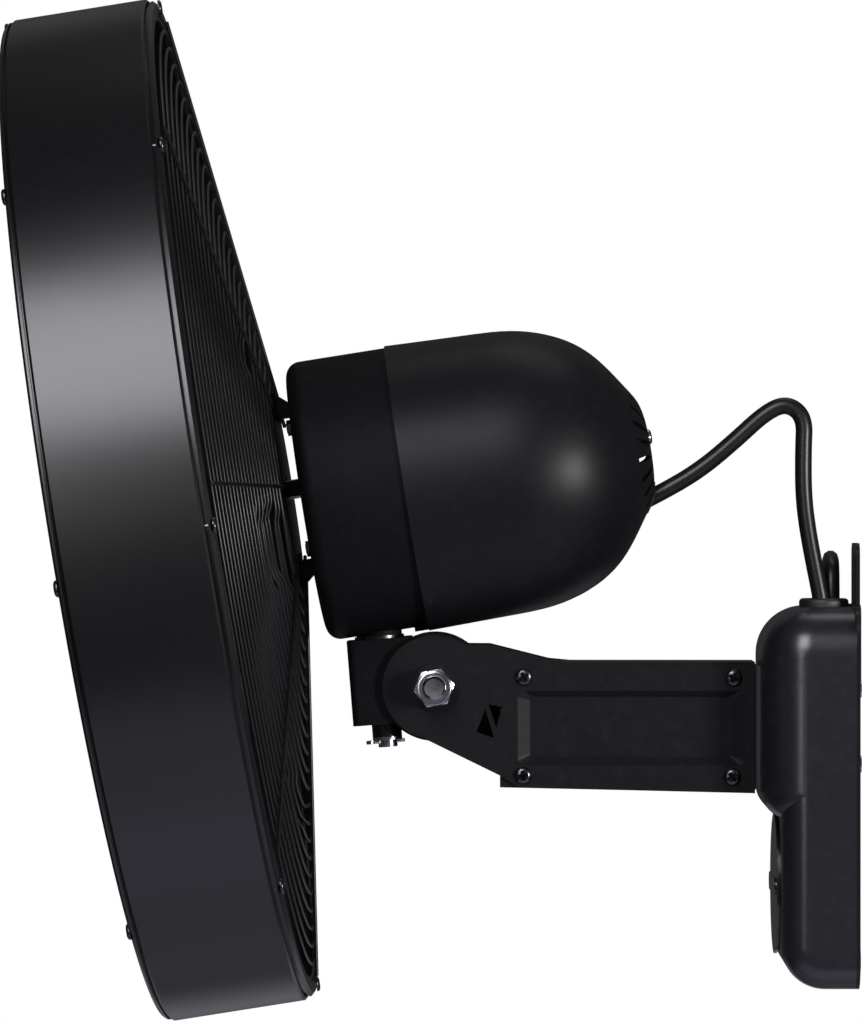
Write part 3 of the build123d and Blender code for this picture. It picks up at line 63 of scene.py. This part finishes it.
RIM_R = 0.251
WIRE_R = 0.001
REAR_RINGS = 22
REAR_PITCH = 0.00887
REAR_SLOPE = 0.131
REAR_BASE = 0.0741
RING_PROUD = 0.0023
PLATE_R = 0.0515
FRONT_RINGS = 15
FRONT_PITCH = 0.0134
FRONT_DOME = 0.014
SPOKES = 8
SPOKE_TURN = math.radians(1.5)
REAR_SPOKE_OVER = 0.0017              # the spokes' middle line, out from the rings'
FRONT_SPOKE_UNDER = 0.0016
SPOKE_GAP = 0.002                     # from a spoke's outer end to the rim
SPOKE_LAP = 0.003                     # of a rear spoke's inner end on the plate
EDGE_WIRE_R = 0.0013                  # the thicker wire round each guard
REAR_EDGE_SINK = 0.0016
FRONT_EDGE_SINK = 0.0008
DENT_RAMP = 0.006

ARM_FACE = 0.021                      # outer face of the arm plates, from the middle
BOLT_FACE = 0.023                     # outer face of the tilt washers
ARM_SCREWS = ((-0.1718, -0.0554), (-0.0646, -0.0557), (-0.1722, -0.1057), (-0.0653, -0.1063))


def columns(x, y, z, place):
    matrix = Matrix((x, y, z)).transposed().to_4x4()
    matrix.translation = place
    return matrix


KNUCKLE = columns(Vector((math.cos(LEAN), 0, math.sin(LEAN))), Vector((0, 1, 0)),
                  Vector((-math.sin(LEAN), 0, math.cos(LEAN))), BOLT)
DRUM_DIR = Vector((math.cos(TILT), 0, math.sin(TILT)))
DRUM_UP = Vector((-math.sin(TILT), 0, math.cos(TILT)))
HEAD = columns(DRUM_UP, Vector((0, -1, 0)), DRUM_DIR,
               KNUCKLE @ Vector((SWIVEL_X, 0, PIVOT_RISE)) - DRUM_DIR * PIVOT_STATION)


# ---------------------------------------------------------------- materials
def socket(node, name, value):
    node.inputs[name].default_value = value


class Paint:
    """A material built up from a few procedural layers."""

    def __init__(self, name, colour, rough, metal=0.0):
        self.material = bpy.data.materials.new(name)
        self.material.use_nodes = True
        self.tree = self.material.node_tree
        self.shader = self.tree.nodes["Principled BSDF"]
        self.where = self.tree.nodes.new("ShaderNodeTexCoord").outputs["Object"]
        socket(self.shader, "Base Color", (*colour, 1))
        socket(self.shader, "Roughness", rough)
        socket(self.shader, "Metallic", metal)
        self.colour, self.rough, self.last_normal = colour, rough, None

    def noise(self, scale, detail=4.0, stretch=None, distortion=0.0):
        node = self.tree.nodes.new("ShaderNodeTexNoise")
        socket(node, "Scale", scale)
        socket(node, "Detail", detail)
        socket(node, "Distortion", distortion)
        where = self.where
        if stretch:
            mapping = self.tree.nodes.new("ShaderNodeMapping")
            socket(mapping, "Scale", stretch)
            self.tree.links.new(where, mapping.inputs["Vector"])
            where = mapping.outputs["Vector"]
        self.tree.links.new(where, node.inputs["Vector"])
        return node.outputs["Fac"]

    def spread(self, value, low, high, to_low, to_high):
        node = self.tree.nodes.new("ShaderNodeMapRange")
        names = ("From Min", "From Max", "To Min", "To Max")
        for name, number in zip(names, (low, high, to_low, to_high)):
            socket(node, name, number)
        self.tree.links.new(value, node.inputs["Value"])
        return node.outputs["Result"]

    def rough_by(self, value, amount):
        """Roughness wanders by this much round its own value."""
        result = self.spread(value, 0.3, 0.7, self.rough - amount, self.rough + amount)
        self.tree.links.new(result, self.shader.inputs["Roughness"])

    def tint_by(self, value, other, low=0.35, high=0.7):
        """The colour goes over to another one where the value is high."""
        # a mix node's colours are its inputs 6 and 7 and its output 2
        share = self.spread(value, low, high, 0, 1)
        mix = self.tree.nodes.new("ShaderNodeMix")
        mix.data_type = "RGBA"
        before = self.shader.inputs["Base Color"]
        if before.links:
            self.tree.links.new(before.links[0].from_socket, mix.inputs[6])
        else:
            mix.inputs[6].default_value = (*self.colour, 1)
        mix.inputs[7].default_value = (*other, 1)
        self.tree.links.new(share, mix.inputs[0])
        self.tree.links.new(mix.outputs[2], self.shader.inputs["Base Color"])

    def bump(self, value, distance, strength=1.0):
        node = self.tree.nodes.new("ShaderNodeBump")
        socket(node, "Distance", distance)
        socket(node, "Strength", strength)
        self.tree.links.new(value, node.inputs["Height"])
        if self.last_normal:
            self.tree.links.new(self.last_normal, node.inputs["Normal"])
        self.last_normal = node.outputs["Normal"]
        self.tree.links.new(self.last_normal, self.shader.inputs["Normal"])


def coated(name, colour, rough, grain=900.0, depth=0.00002, level=0.5):
    """Baked paint: fine orange peel, a slow change of gloss and a trace of dust."""
    paint = Paint(name, colour, rough)
    socket(paint.shader, "Specular IOR Level", level)
    paint.rough_by(paint.noise(9.0, 3.0), 0.02)
    paint.tint_by(paint.noise(210.0, 7.0), [c * 1.6 + 0.001 for c in colour], 0.5, 1.0)
    paint.bump(paint.noise(grain, 2.0), depth, 0.5)
    paint.bump(paint.noise(26.0, 1.0), 0.00003, 0.1)
    return paint


def bare_metal(name, colour, rough, stretch=(1, 1, 12), stain=(0.28, 0.27, 0.26)):
    """Plated or machined metal: fine lines, stains and a wandering gloss."""
    paint = Paint(name, colour, rough, 1.0)
    lines = paint.noise(600.0, 3.0, stretch)
    paint.rough_by(paint.noise(60.0, 5.0), 0.06)
    paint.tint_by(paint.noise(140.0, 5.0), stain, 0.5, 0.95)
    paint.bump(lines, 0.00002, 0.4)
    return paint


def make_materials():
    drum = coated("drum paint", (0.0022, 0.0021, 0.0029), 0.31)
    steel = coated("steel paint", (0.0070, 0.0068, 0.0080), 0.30, level=0.14)
    wire = coated("wire paint", (0.0045, 0.0045, 0.0052), 0.36, 1500.0, level=0.30)
    cast = coated("cast paint", (0.0036, 0.0036, 0.0044), 0.56, 700.0, 0.00004, 0.06)
    moulded = coated("moulded plastic", (0.0088, 0.0084, 0.0116), 0.27, 1400.0, 0.000012, 0.5)
    cap = coated("cap paint", (0.0040, 0.0040, 0.0050), 0.43, 1100.0, 0.00002, 0.15)
    knob = coated("knob plastic", (0.0060, 0.0060, 0.0070), 0.22, 1600.0, 0.000006)
    socket(knob.shader, "Coat Weight", 0.25)
    zinc = bare_metal("zinc plate", (0.44, 0.45, 0.49), 0.23)
    oxide = bare_metal("black oxide", (0.07, 0.07, 0.075), 0.27, stain=(0.11, 0.105, 0.10))
    rubber = coated("rubber", (0.0060, 0.0060, 0.0065), 0.52, 500.0, 0.00003)
    jacket = coated("cord jacket", (0.0050, 0.0050, 0.0055), 0.34, 420.0, 0.00003, 0.28)
    nylon = coated("lock ring nylon", (0.060, 0.060, 0.070), 0.40, 900.0, 0.00001)
    alloy = bare_metal("cast alloy", (0.52, 0.53, 0.55), 0.48, (1, 1, 1))
    blade = bare_metal("blade alloy", (0.42, 0.43, 0.45), 0.42, (1, 8, 1))
    iron = bare_metal("motor iron", (0.26, 0.26, 0.27), 0.45, (14, 1, 1))
    copper = bare_metal("enamelled copper", (0.55, 0.24, 0.11), 0.32, (1, 20, 20), (0.35, 0.13, 0.05))
    pale = coated("pale plastic", (0.55, 0.54, 0.50), 0.42, 900.0, 0.00002)
    return {
        "drum": drum, "wire": wire, "cap": cap, "nylon": nylon,
        "black_steel": steel, "black_cast": cast, "black_plastic": moulded, "knob_plastic": knob,
        "zinc_steel": zinc, "black_oxide": oxide, "black_rubber": rubber, "cord_rubber": jacket,
        "cast_aluminium": alloy, "blade_aluminium": blade, "motor_steel": iron,
        "winding_copper": copper, "pale_plastic": pale,
    }


paints = make_materials()


def finish_of(piece, key):
    piece.data.materials.clear()
    piece.data.materials.append(paints[key].material)
    return piece


# nodes whose paint is not the one that their slot names
SPECIAL = {"drum": "drum", "front_ring": "drum", "rear_ring": "drum", "pod_rear_cap": "cap",
           "tilt_washers": "black_steel"}
for part in frame["record"]["subparts"]:
    finish_of(nodes[part["node"]], SPECIAL.get(part["node"], part["material_slot"]))


# ---------------------------------------------------------------- modelling helpers
def only(*objects):
    bpy.ops.object.select_all(action="DESELECT")
    for item in objects:
        item.select_set(True)
    bpy.context.view_layer.objects.active = objects[0]


def made(name):
    piece = bpy.context.object
    piece.name = name
    piece.data.name = name
    return piece


def settle(piece, place=None):
    """Moves a piece, modelled upright, to its place and leaves its object at the origin."""
    if place is not None:
        piece.matrix_world = place @ piece.matrix_world
    only(piece)
    bpy.ops.object.transform_apply(location=True, rotation=True, scale=True)
    return piece


def joined(name, pieces):
    only(*pieces)
    bpy.ops.object.join()
    return made(name)


def smooth(piece, angle=35):
    only(piece)
    bpy.ops.object.shade_smooth_by_angle(angle=math.radians(angle))
    return piece


def ring(radius, height, thick=WIRE_R, steps=144):
    bpy.ops.mesh.primitive_torus_add(location=(0, 0, height), major_radius=radius,
                                     minor_radius=thick, major_segments=steps, minor_segments=8)
    return made("ring")


def line(name, points, thick, order=3, steps=8):
    """A round wire or cord along a smooth spline."""
    data = bpy.data.curves.new(name, "CURVE")
    data.dimensions = "3D"
    data.bevel_depth = thick
    data.bevel_resolution = 3
    data.resolution_u = steps
    data.use_fill_caps = True
    spline = data.splines.new("NURBS")
    spline.points.add(len(points) - 1)
    for point, place in zip(spline.points, points):
        point.co = (*place, 1)
    spline.order_u = order
    spline.use_endpoint_u = True
    piece = bpy.data.objects.new(name, data)
    scene.collection.objects.link(piece)
    return piece


def as_mesh(piece):
    only(piece)
    bpy.ops.object.convert(target="MESH")
    return made(piece.name)


def copy_at(piece, place):
    """A copy of the piece, with a mesh of its own, at the place."""
    other = piece.copy()
    other.data = piece.data.copy()
    scene.collection.objects.link(other)
    return settle(other, place)


def copies_round(piece, count, turn):
    """The piece, turned, and its copies round the Z axis."""
    settle(piece, Matrix.Rotation(turn, 4, "Z"))
    steps = [Matrix.Rotation(2 * math.pi * k / count, 4, "Z") for k in range(1, count)]
    return [piece] + [copy_at(piece, step) for step in steps]


# ---------------------------------------------------------------- guards
def rear_height(radius):
    return REAR_BASE + (RIM_R - radius) * REAR_SLOPE


def front_height(radius):
    return -FRONT_DOME * (1 - (radius / RIM_R) ** 2) - WIRE_R


# where knocks have pushed the rear wires in: first and last ring, lower and upper end, side, depth
DENTS = (
    (13, 15, -0.050, -0.009, 1, 0.0022), (16, 18, -0.046, -0.006, 1, 0.0030),
    (19, 20, -0.052, -0.010, 1, 0.0018), (15, 17, 0.058, 0.082, 1, 0.0020),
    (8, 10, -0.170, -0.140, 1, 0.0018), (11, 13, 0.030, 0.060, -1, 0.0020),
)


def dent(piece, number):
    """Pushes parts of one ring in, as far as the dents that reach it say."""
    for first, last, low, high, side, depth in DENTS:
        if first <= number <= last:
            for vertex in piece.data.vertices:
                inside = min(vertex.co.x - low, high - vertex.co.x) / DENT_RAMP
                if vertex.co.y * side > 0 and inside > 0:
                    vertex.co.z -= depth * min(inside, 1.0)
    return piece


def rear_guard():
    pieces = []
    for k in range(1, REAR_RINGS + 1):
        radius = RIM_R - REAR_PITCH * k
        pieces.append(dent(ring(radius, rear_height(radius)), k))
    ends = [(0, r, rear_height(r) + REAR_SPOKE_OVER) for r in (RIM_R - SPOKE_GAP, PLATE_R - SPOKE_LAP)]
    pieces += copies_round(as_mesh(line("spoke", ends, WIRE_R, 2)), SPOKES, -SPOKE_TURN)
    pieces.append(ring(RIM_R - EDGE_WIRE_R, REAR_BASE - REAR_EDGE_SINK, EDGE_WIRE_R))
    guard = joined("rear_guard_wires", pieces)
    return smooth(settle(guard, HEAD), 50)


def front_guard():
    pieces = []
    for k in range(1, FRONT_RINGS + 1):
        radius = RIM_R - FRONT_PITCH * k
        pieces.append(ring(radius, front_height(radius)))
    stations = (RIM_R - SPOKE_GAP, 0.22, 0.18, 0.135, 0.09, 0.04)
    bend = [(0, r, front_height(r) + FRONT_SPOKE_UNDER) for r in stations]
    pieces += copies_round(as_mesh(line("spoke", bend, WIRE_R)), SPOKES, -SPOKE_TURN)
    pieces.append(ring(RIM_R - EDGE_WIRE_R, -FRONT_EDGE_SINK, EDGE_WIRE_R))
    guard = joined("front_guard_wires", pieces)
    return smooth(settle(guard, HEAD), 50)


def put(piece, body, key, *replaced):
    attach(finish_of(piece, key), body)
    if replaced:
        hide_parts(*replaced)


put(rear_guard(), "fan_head", "wire", "rear_guard")
put(front_guard(), "fan_head", "wire", "front_guard")


# ---------------------------------------------------------------- fasteners
RING_SCREW_CIRCLE = 0.255
FRONT_SCREW_TURN, REAR_SCREW_TURN = 7, 3
CAP_SCREW_PLACE = (-0.0021, 0, 0.2874)
RECESS_LONG, RECESS_WIDE = 1.25, 0.32  # of a screw head's radius
HEX_R = 0.01045                       # tilt nut and bolt head, middle to corner
NUT_HIGH, HEAD_HIGH = 0.0098, 0.0075
BOLT_R, BORE_R = 0.0060, 0.00602
SHANK_SHORT = 0.001                   # the plain shank ends this far inside the washers' faces
THREAD_PROUD = 0.015                  # beyond the washer's face
COLLAR_R, COLLAR_IN = 0.0090, 0.0074
COLLAR_LOW, COLLAR_HIGH = BOLT_FACE + 0.0092, BOLT_FACE + 0.0130
NYLON_LOW, NYLON_HIGH = BOLT_FACE + 0.0098, BOLT_FACE + 0.0122
CREST_R, CREST_THICK = 0.00595, 0.00013
CREST_HIGH = BOLT_FACE + 0.0132

NEAR = columns(Vector((1, 0, 0)), Vector((0, 0, 1)), Vector((0, -1, 0)), Vector((0, 0, 0)))
FAR = columns(Vector((1, 0, 0)), Vector((0, 0, -1)), Vector((0, 1, 0)), Vector((0, 0, 0)))
OVER = Matrix.Rotation(math.pi, 4, "X")


def pick_top(piece):
    """Selects the faces that look up and stays in edit mode."""
    only(piece)
    bpy.ops.object.mode_set(mode="EDIT")
    bpy.ops.mesh.select_mode(type="FACE")
    bpy.ops.mesh.select_all(action="DESELECT")
    bpy.ops.object.mode_set(mode="OBJECT")
    for face in piece.data.polygons:
        face.select = face.normal.z > 0.9
    bpy.ops.object.mode_set(mode="EDIT")


def stepped(name, sides, radius, height, steps, turn=0.0):
    """A bar stood on z = 0 whose top face is drawn in and raised, step by step."""
    bpy.ops.mesh.primitive_cylinder_add(vertices=sides, radius=radius, depth=height,
                                        location=(0, 0, height / 2), rotation=(0, 0, turn))
    piece = made(name)
    settle(piece)
    pick_top(piece)
    for drawn, raised in steps:
        bpy.ops.mesh.inset(thickness=drawn, depth=raised)
    bpy.ops.object.mode_set(mode="OBJECT")
    return piece


def cut(piece, tool, how="DIFFERENCE"):
    cutter = piece.modifiers.new("cut", "BOOLEAN")
    cutter.operation = how
    cutter.object = tool
    cutter.solver = "EXACT"
    only(piece)
    bpy.ops.object.modifier_apply(modifier="cut")
    bpy.data.objects.remove(tool)
    return piece


def screw(radius, proud, shank_r, shank_long):
    """A pan head with a cross recess, on a plain shank that points down."""
    dome = ((0.06, 0.20), (0.12, 0.20), (0.22, 0.14), (0.25, 0.04))
    head = stepped("screw", 36, radius, proud * 0.42, [(radius * r, proud * h) for r, h in dome])
    for turn in (0, math.pi / 2):
        bpy.ops.mesh.primitive_cube_add(size=1, location=(0, 0, proud),
                                        rotation=(math.pi / 4, 0, turn + 0.5))
        bar = made("bar")
        bar.scale = (radius * RECESS_LONG, radius * RECESS_WIDE, radius * RECESS_WIDE)
        cut(head, settle(bar))
    bpy.ops.mesh.primitive_cylinder_add(vertices=16, radius=shank_r, depth=shank_long,
                                        location=(0, 0, -shank_long / 2))
    return smooth(joined("screw", [head, made("shank")]), 40)


def spread_out(name, piece, places):
    """One copy of the piece at each place; all joined."""
    found = [copy_at(piece, place) for place in places]
    bpy.data.objects.remove(piece)
    return joined(name, found)


def round_drum(turn, height, flip=Matrix.Identity(4)):
    """Eight places on a circle round the drum's edge, each screw turned differently."""
    places = []
    for k in range(8):
        angle = math.radians(turn) + math.pi * k / 4
        place = Matrix.Translation((-RING_SCREW_CIRCLE * math.sin(angle),
                                    RING_SCREW_CIRCLE * math.cos(angle), height))
        places.append(HEAD @ place @ flip @ Matrix.Rotation(0.7 * k, 4, "Z"))
    return places


def at_arm(side):
    places = []
    for k, (x, z) in enumerate(ARM_SCREWS):
        face = side @ Matrix.Translation((0, 0, ARM_FACE))
        places.append(Matrix.Translation((x, 0, z)) @ face @ Matrix.Rotation(0.6 * k, 4, "Z"))
    return places


put(spread_out("ring_screw_heads", screw(0.0040, 0.0019, 0.0019, 0.0038),
               round_drum(FRONT_SCREW_TURN, -RING_PROUD, OVER) + round_drum(REAR_SCREW_TURN, REAR_BASE)),
    "fan_head", "black_oxide", "ring_screws")
put(spread_out("arm_screw_heads", screw(0.00425, 0.0024, 0.002, 0.0055), at_arm(NEAR) + at_arm(FAR)),
    "wall_unit", "black_oxide", "arm_screws")
put(spread_out("cap_screw_head", screw(0.0040, 0.0024, 0.0024, 0.012),
               [HEAD @ Matrix.Translation(CAP_SCREW_PLACE)]),
    "fan_head", "zinc_steel", "cap_screw")


def hexagon_with_cone(name, radius, height, base, turn):
    """A hexagon whose corners are taken off at both ends by a cone."""
    slope, drawn = radius * 0.075, 0.86
    body = stepped(name, 6, radius, height, (), math.pi / 2 + turn)
    tool = stepped("cone", 72, radius * 0.88, slope, ())
    for vertex in tool.data.vertices:
        if vertex.co.z > slope / 2:
            vertex.co.x, vertex.co.y = vertex.co.x / drawn, vertex.co.y / drawn
    pick_top(tool)
    bpy.ops.mesh.extrude_region_move(TRANSFORM_OT_translate={"value": (0, 0, height - 2 * slope)})
    bpy.ops.mesh.extrude_region_move(TRANSFORM_OT_translate={"value": (0, 0, slope)})
    bpy.ops.transform.resize(value=(drawn, drawn, 1.0))
    bpy.ops.object.mode_set(mode="OBJECT")
    cut(body, tool, "INTERSECT")
    return settle(body, Matrix.Translation((0, 0, base)))


def ring_bar(name, outer, inner, low, high, bevel):
    """A ring with a rounded outer edge on top."""
    rounding = ((bevel * 0.3, bevel * 0.7), (bevel * 0.7, bevel * 0.3))
    body = stepped(name, 72, outer, high - low - bevel, rounding)
    hole = stepped("hole", 72, inner, (high - low) * 2, ())
    cut(body, settle(hole, Matrix.Translation((0, 0, low - high))))
    return settle(body, Matrix.Translation((0, 0, low)))


def lock_nut():
    """A hexagon with a rolled collar; the collar's inside is left to the nylon ring."""
    body = hexagon_with_cone("lock_nut", HEX_R, NUT_HIGH, BOLT_FACE, math.radians(10))
    hole = stepped("hole", 72, BORE_R, 0.04, ())
    cut(body, settle(hole, Matrix.Translation((0, 0, 0.01))))
    collar = ring_bar("collar", COLLAR_R, COLLAR_IN, COLLAR_LOW, COLLAR_HIGH, 0.0008)
    return smooth(settle(joined("lock_nut", [body, collar]), Matrix.Translation(BOLT) @ NEAR), 30)


def lock_ring():
    """The nylon ring inside the nut's collar."""
    washer = ring_bar("lock_ring", COLLAR_IN, BORE_R, NYLON_LOW, NYLON_HIGH, 0.0003)
    return smooth(settle(washer, Matrix.Translation(BOLT) @ NEAR), 40)


def through_bolt():
    """The bolt from its head on the far side to the threads that stand out of the nut."""
    chamfer = ((0.0009, 0.0012), (0.0003, 0.0004))
    shank = stepped("through_bolt", 72, BOLT_R, 2 * (BOLT_FACE - SHANK_SHORT), ())
    settle(shank, Matrix.Translation((0, 0, SHANK_SHORT - BOLT_FACE)))
    threads = stepped("threads", 72, BOLT_R, THREAD_PROUD - 0.0016, chamfer)
    settle(threads, Matrix.Translation((0, 0, BOLT_FACE)))
    crest = ring(CREST_R, CREST_HIGH, CREST_THICK, 72)
    head = settle(hexagon_with_cone("bolt_head", HEX_R, HEAD_HIGH, BOLT_FACE, 0.3), OVER)
    bolt = joined("through_bolt", [shank, threads, head, crest])
    return smooth(settle(bolt, Matrix.Translation(BOLT) @ NEAR), 30)


put(lock_nut(), "wall_unit", "zinc_steel", "tilt_nut")
put(lock_ring(), "wall_unit", "nylon")
put(through_bolt(), "wall_unit", "zinc_steel", "tilt_bolt")

# ---------------------------------------------------------------- motor cord
MOTOR_ROUTE = [
    (-0.1132, 0, 0.0327), (-0.0975, 0, 0.0406), (-0.0800, 0, 0.0513), (-0.0635, 0, 0.0652),
    (-0.0474, 0, 0.0801), (-0.0362, 0, 0.0849), (-0.0272, -0.0005, 0.0776), (-0.0280, -0.0015, 0.0608),
    (-0.0280, -0.0025, 0.0376), (-0.0258, -0.0035, 0.0191), (-0.0222, -0.0043, 0.0),
    (-0.0189, -0.0048, -0.0165), (-0.0183, -0.0049, -0.0235),
]
CORD_R = 0.00435


def path_of(curve):
    """The points of a spline's own line, read from the spline without its thickness."""
    depth = curve.data.bevel_depth
    curve.data.bevel_depth = 0
    bpy.context.view_layer.update()
    mesh = bpy.data.meshes.new_from_object(curve.evaluated_get(bpy.context.evaluated_depsgraph_get()))
    points = [v.co.copy() for v in mesh.vertices]
    bpy.data.meshes.remove(mesh)
    curve.data.bevel_depth = depth
    return points


def tube(name, points, first, last, thick, sides=16):
    """A round skin along the points from the first to the last number given, closed at both ends."""
    data = bpy.data.meshes.new(name)
    work = bmesh.new()
    rows = []
    across = Vector((0, 1, 0))
    for index, point in enumerate(points):
        ahead = points[min(index + 1, len(points) - 1)] - points[max(index - 1, 0)]
        ahead.normalize()
        across = (across - ahead * across.dot(ahead)).normalized()
        other = ahead.cross(across)
        if not first <= index <= last:
            continue
        row = []
        for k in range(sides):
            angle = 2 * math.pi * k / sides
            way = across * math.cos(angle) + other * math.sin(angle)
            row.append(work.verts.new(point + way * thick))
        rows.append(row)
    for here, after in zip(rows, rows[1:]):
        for k in range(sides):
            work.faces.new((here[k], here[(k + 1) % sides], after[(k + 1) % sides], after[k]))
    work.faces.new(list(reversed(rows[0])))
    work.faces.new(rows[-1])
    bmesh.ops.recalc_face_normals(work, faces=work.faces)
    work.to_mesh(data)
    work.free()
    piece = bpy.data.objects.new(name, data)
    scene.collection.objects.link(piece)
    return piece


motor_line = line("motor_cord_line", MOTOR_ROUTE, CORD_R, 3, 12)
motor_points = path_of(motor_line)
bpy.data.objects.remove(motor_line)
middle = len(motor_points) * 4 // 11
motor_upper = smooth(tube("motor_cord_upper", motor_points, 0, middle, CORD_R), 60)
motor_lower = smooth(tube("motor_cord_lower", motor_points, middle, len(motor_points), CORD_R), 60)
for half in (motor_upper, motor_lower):
    finish_of(half, "cord_rubber")
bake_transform(motor_upper)
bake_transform(motor_lower)
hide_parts("motor_cord")

# ---------------------------------------------------------------- mains lead and its coil
LEAD_R = 0.00415
COIL_TURNS = 5.25
COIL_STEPS = 12                       # route points in a turn
COIL_R = 0.0565
TURN_PITCH = 0.009
COIL_MIDDLE = (0.118, -0.115)
WALL_LAYER = -0.0097
LAYER_STEP = 0.0089
TAIL = 0.014                          # straight on from the coil before the lead drops
PLUG_TOP = (-0.0186, 0.1745, -0.149)
LEAD_ROUTE = [
    (-0.0131, 0.0035, -0.024), (-0.0131, 0.0035, -0.0055), (-0.0127, 0.0145, 0.0043),
    (-0.0119, 0.036, 0.0052), (-0.0108, 0.057, -0.0075), (-0.0102, 0.0713, -0.0295),
    (-0.0097, 0.0818, -0.048), (-0.0097, 0.0985, -0.058),
]


def coil_point(turn):
    """Where the put-away lead is after so many turns: in on one layer, out on the next."""
    angle = 2 * math.pi * turn
    radius = COIL_R - TURN_PITCH * min(turn, COIL_TURNS - turn)
    climb = min(max((turn - COIL_TURNS / 2) * 2 + 0.5, 0.0), 1.0)
    layer = WALL_LAYER - LAYER_STEP * (1 - math.cos(math.pi * climb)) / 2
    return (layer, COIL_MIDDLE[0] + radius * math.sin(angle), COIL_MIDDLE[1] + radius * math.cos(angle))


# ---------------------------------------------------------------- stage
WORLD_SEEN, WORLD_MIRRORED, WORLD_LIGHT = 1.0, 0.06, 0.04
FLOOR_SIZE, FLOOR_PLACE = 1.5, (0, -0.35, -0.82)
LIGHTS_AIM = Vector((-0.22, 0, 0.03))
CAMERA_AIM = Vector((-0.2198, 0, 0.0314))
CAMERA_FAR = 2.635
CAMERA_TURN = math.radians(0.87)      # the photograph is taken a little from the wall's side
PHOTO_HIGH = 1024                     # pixels


def softbox(name, size, distance, side, rise, power, colour=(1, 1, 1)):
    """A soft panel round the fan: side is degrees from the camera's side, rise is its height."""
    data = bpy.data.lights.new(name, "AREA")
    data.shape = "RECTANGLE"
    data.size, data.size_y = size
    data.energy = power
    data.color = colour
    lamp = bpy.data.objects.new(name, data)
    scene.collection.objects.link(lamp)
    side, rise = math.radians(side), math.radians(rise)
    way = Vector((math.sin(side) * math.cos(rise), -math.cos(side) * math.cos(rise), math.sin(rise)))
    lamp.location = LIGHTS_AIM + way * distance
    lamp.rotation_euler = way.to_track_quat("Z", "Y").to_euler()


def make_world():
    """White where the camera looks straight at it; dim in reflections and dimmer as light."""
    world = bpy.data.worlds.new("studio")
    scene.world = world
    world.use_nodes = True
    tree = world.node_tree
    ground = tree.nodes["Background"]
    socket(ground, "Color", (1, 1, 1, 1))
    path = tree.nodes.new("ShaderNodeLightPath")
    mirrored = tree.nodes.new("ShaderNodeMapRange")
    socket(mirrored, "To Min", WORLD_LIGHT)
    socket(mirrored, "To Max", WORLD_MIRRORED)
    tree.links.new(path.outputs["Is Glossy Ray"], mirrored.inputs["Value"])
    level = tree.nodes.new("ShaderNodeMapRange")
    socket(level, "To Max", WORLD_SEEN)
    tree.links.new(mirrored.outputs["Result"], level.inputs["To Min"])
    tree.links.new(path.outputs["Is Camera Ray"], level.inputs["Value"])
    tree.links.new(level.outputs["Result"], ground.inputs["Strength"])


def make_floor():
    bpy.ops.mesh.primitive_plane_add(size=FLOOR_SIZE, location=FLOOR_PLACE)
    floor = made("floor")
    paint = Paint("floor", (0.48, 0.46, 0.56), 0.7)
    paint.tint_by(paint.noise(3.0), (0.53, 0.51, 0.60))
    paint.bump(paint.noise(60.0), 0.0004, 0.2)
    floor.data.materials.append(paint.material)


def make_camera():
    way = Vector((-math.sin(CAMERA_TURN), math.cos(CAMERA_TURN), 0))
    data = bpy.data.cameras.new("camera")
    data.lens = 179.8
    data.sensor_width = 36.0
    data.shift_x = 0.5 / PHOTO_HIGH
    data.shift_y = -5 / PHOTO_HIGH
    camera = bpy.data.objects.new("camera", data)
    scene.collection.objects.link(camera)
    camera.location = CAMERA_AIM - way * CAMERA_FAR
    camera.rotation_euler = way.to_track_quat("-Z", "Y").to_euler()
    scene.camera = camera


make_world()
make_floor()
make_camera()
softbox("key", (1.0, 1.45), 2.6, -14, 32, 51, (0.965, 0.955, 1.0))
softbox("side", (0.45, 0.5), 2.6, 48, 1, 66)
softbox("front", (0.2, 0.9), 3.0, -18, 3, 7.5)
softbox("behind", (1.8, 0.6), 1.6, 180, -37, 1.3, (0.90, 0.87, 1.0))
softbox("behind top", (1.8, 0.6), 1.6, 180, 37, 0.3)
softbox("low", (1.0, 0.26), 0.74, 0, -68, 0.2, (0.80, 0.74, 1.0))
softbox("top", (1.6, 0.8), 2.4, 150, 70, 6)

scene.view_settings.view_transform = "Standard"

# ---------------------------------------------------------------- mains lead as one cord
points = LEAD_ROUTE + [coil_point(k / COIL_STEPS) for k in range(int(COIL_TURNS * COIL_STEPS) + 1)]
leave = Vector(points[-1])
heading = (leave - Vector(points[-2])).normalized()
points += [tuple(leave + heading * TAIL), PLUG_TOP]
mains = line("mains_cord", points, LEAD_R, 3, 8)
finish_of(mains, "cord_rubber")
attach(mains, "wall_unit")
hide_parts("mains_lead", "mains_coil")
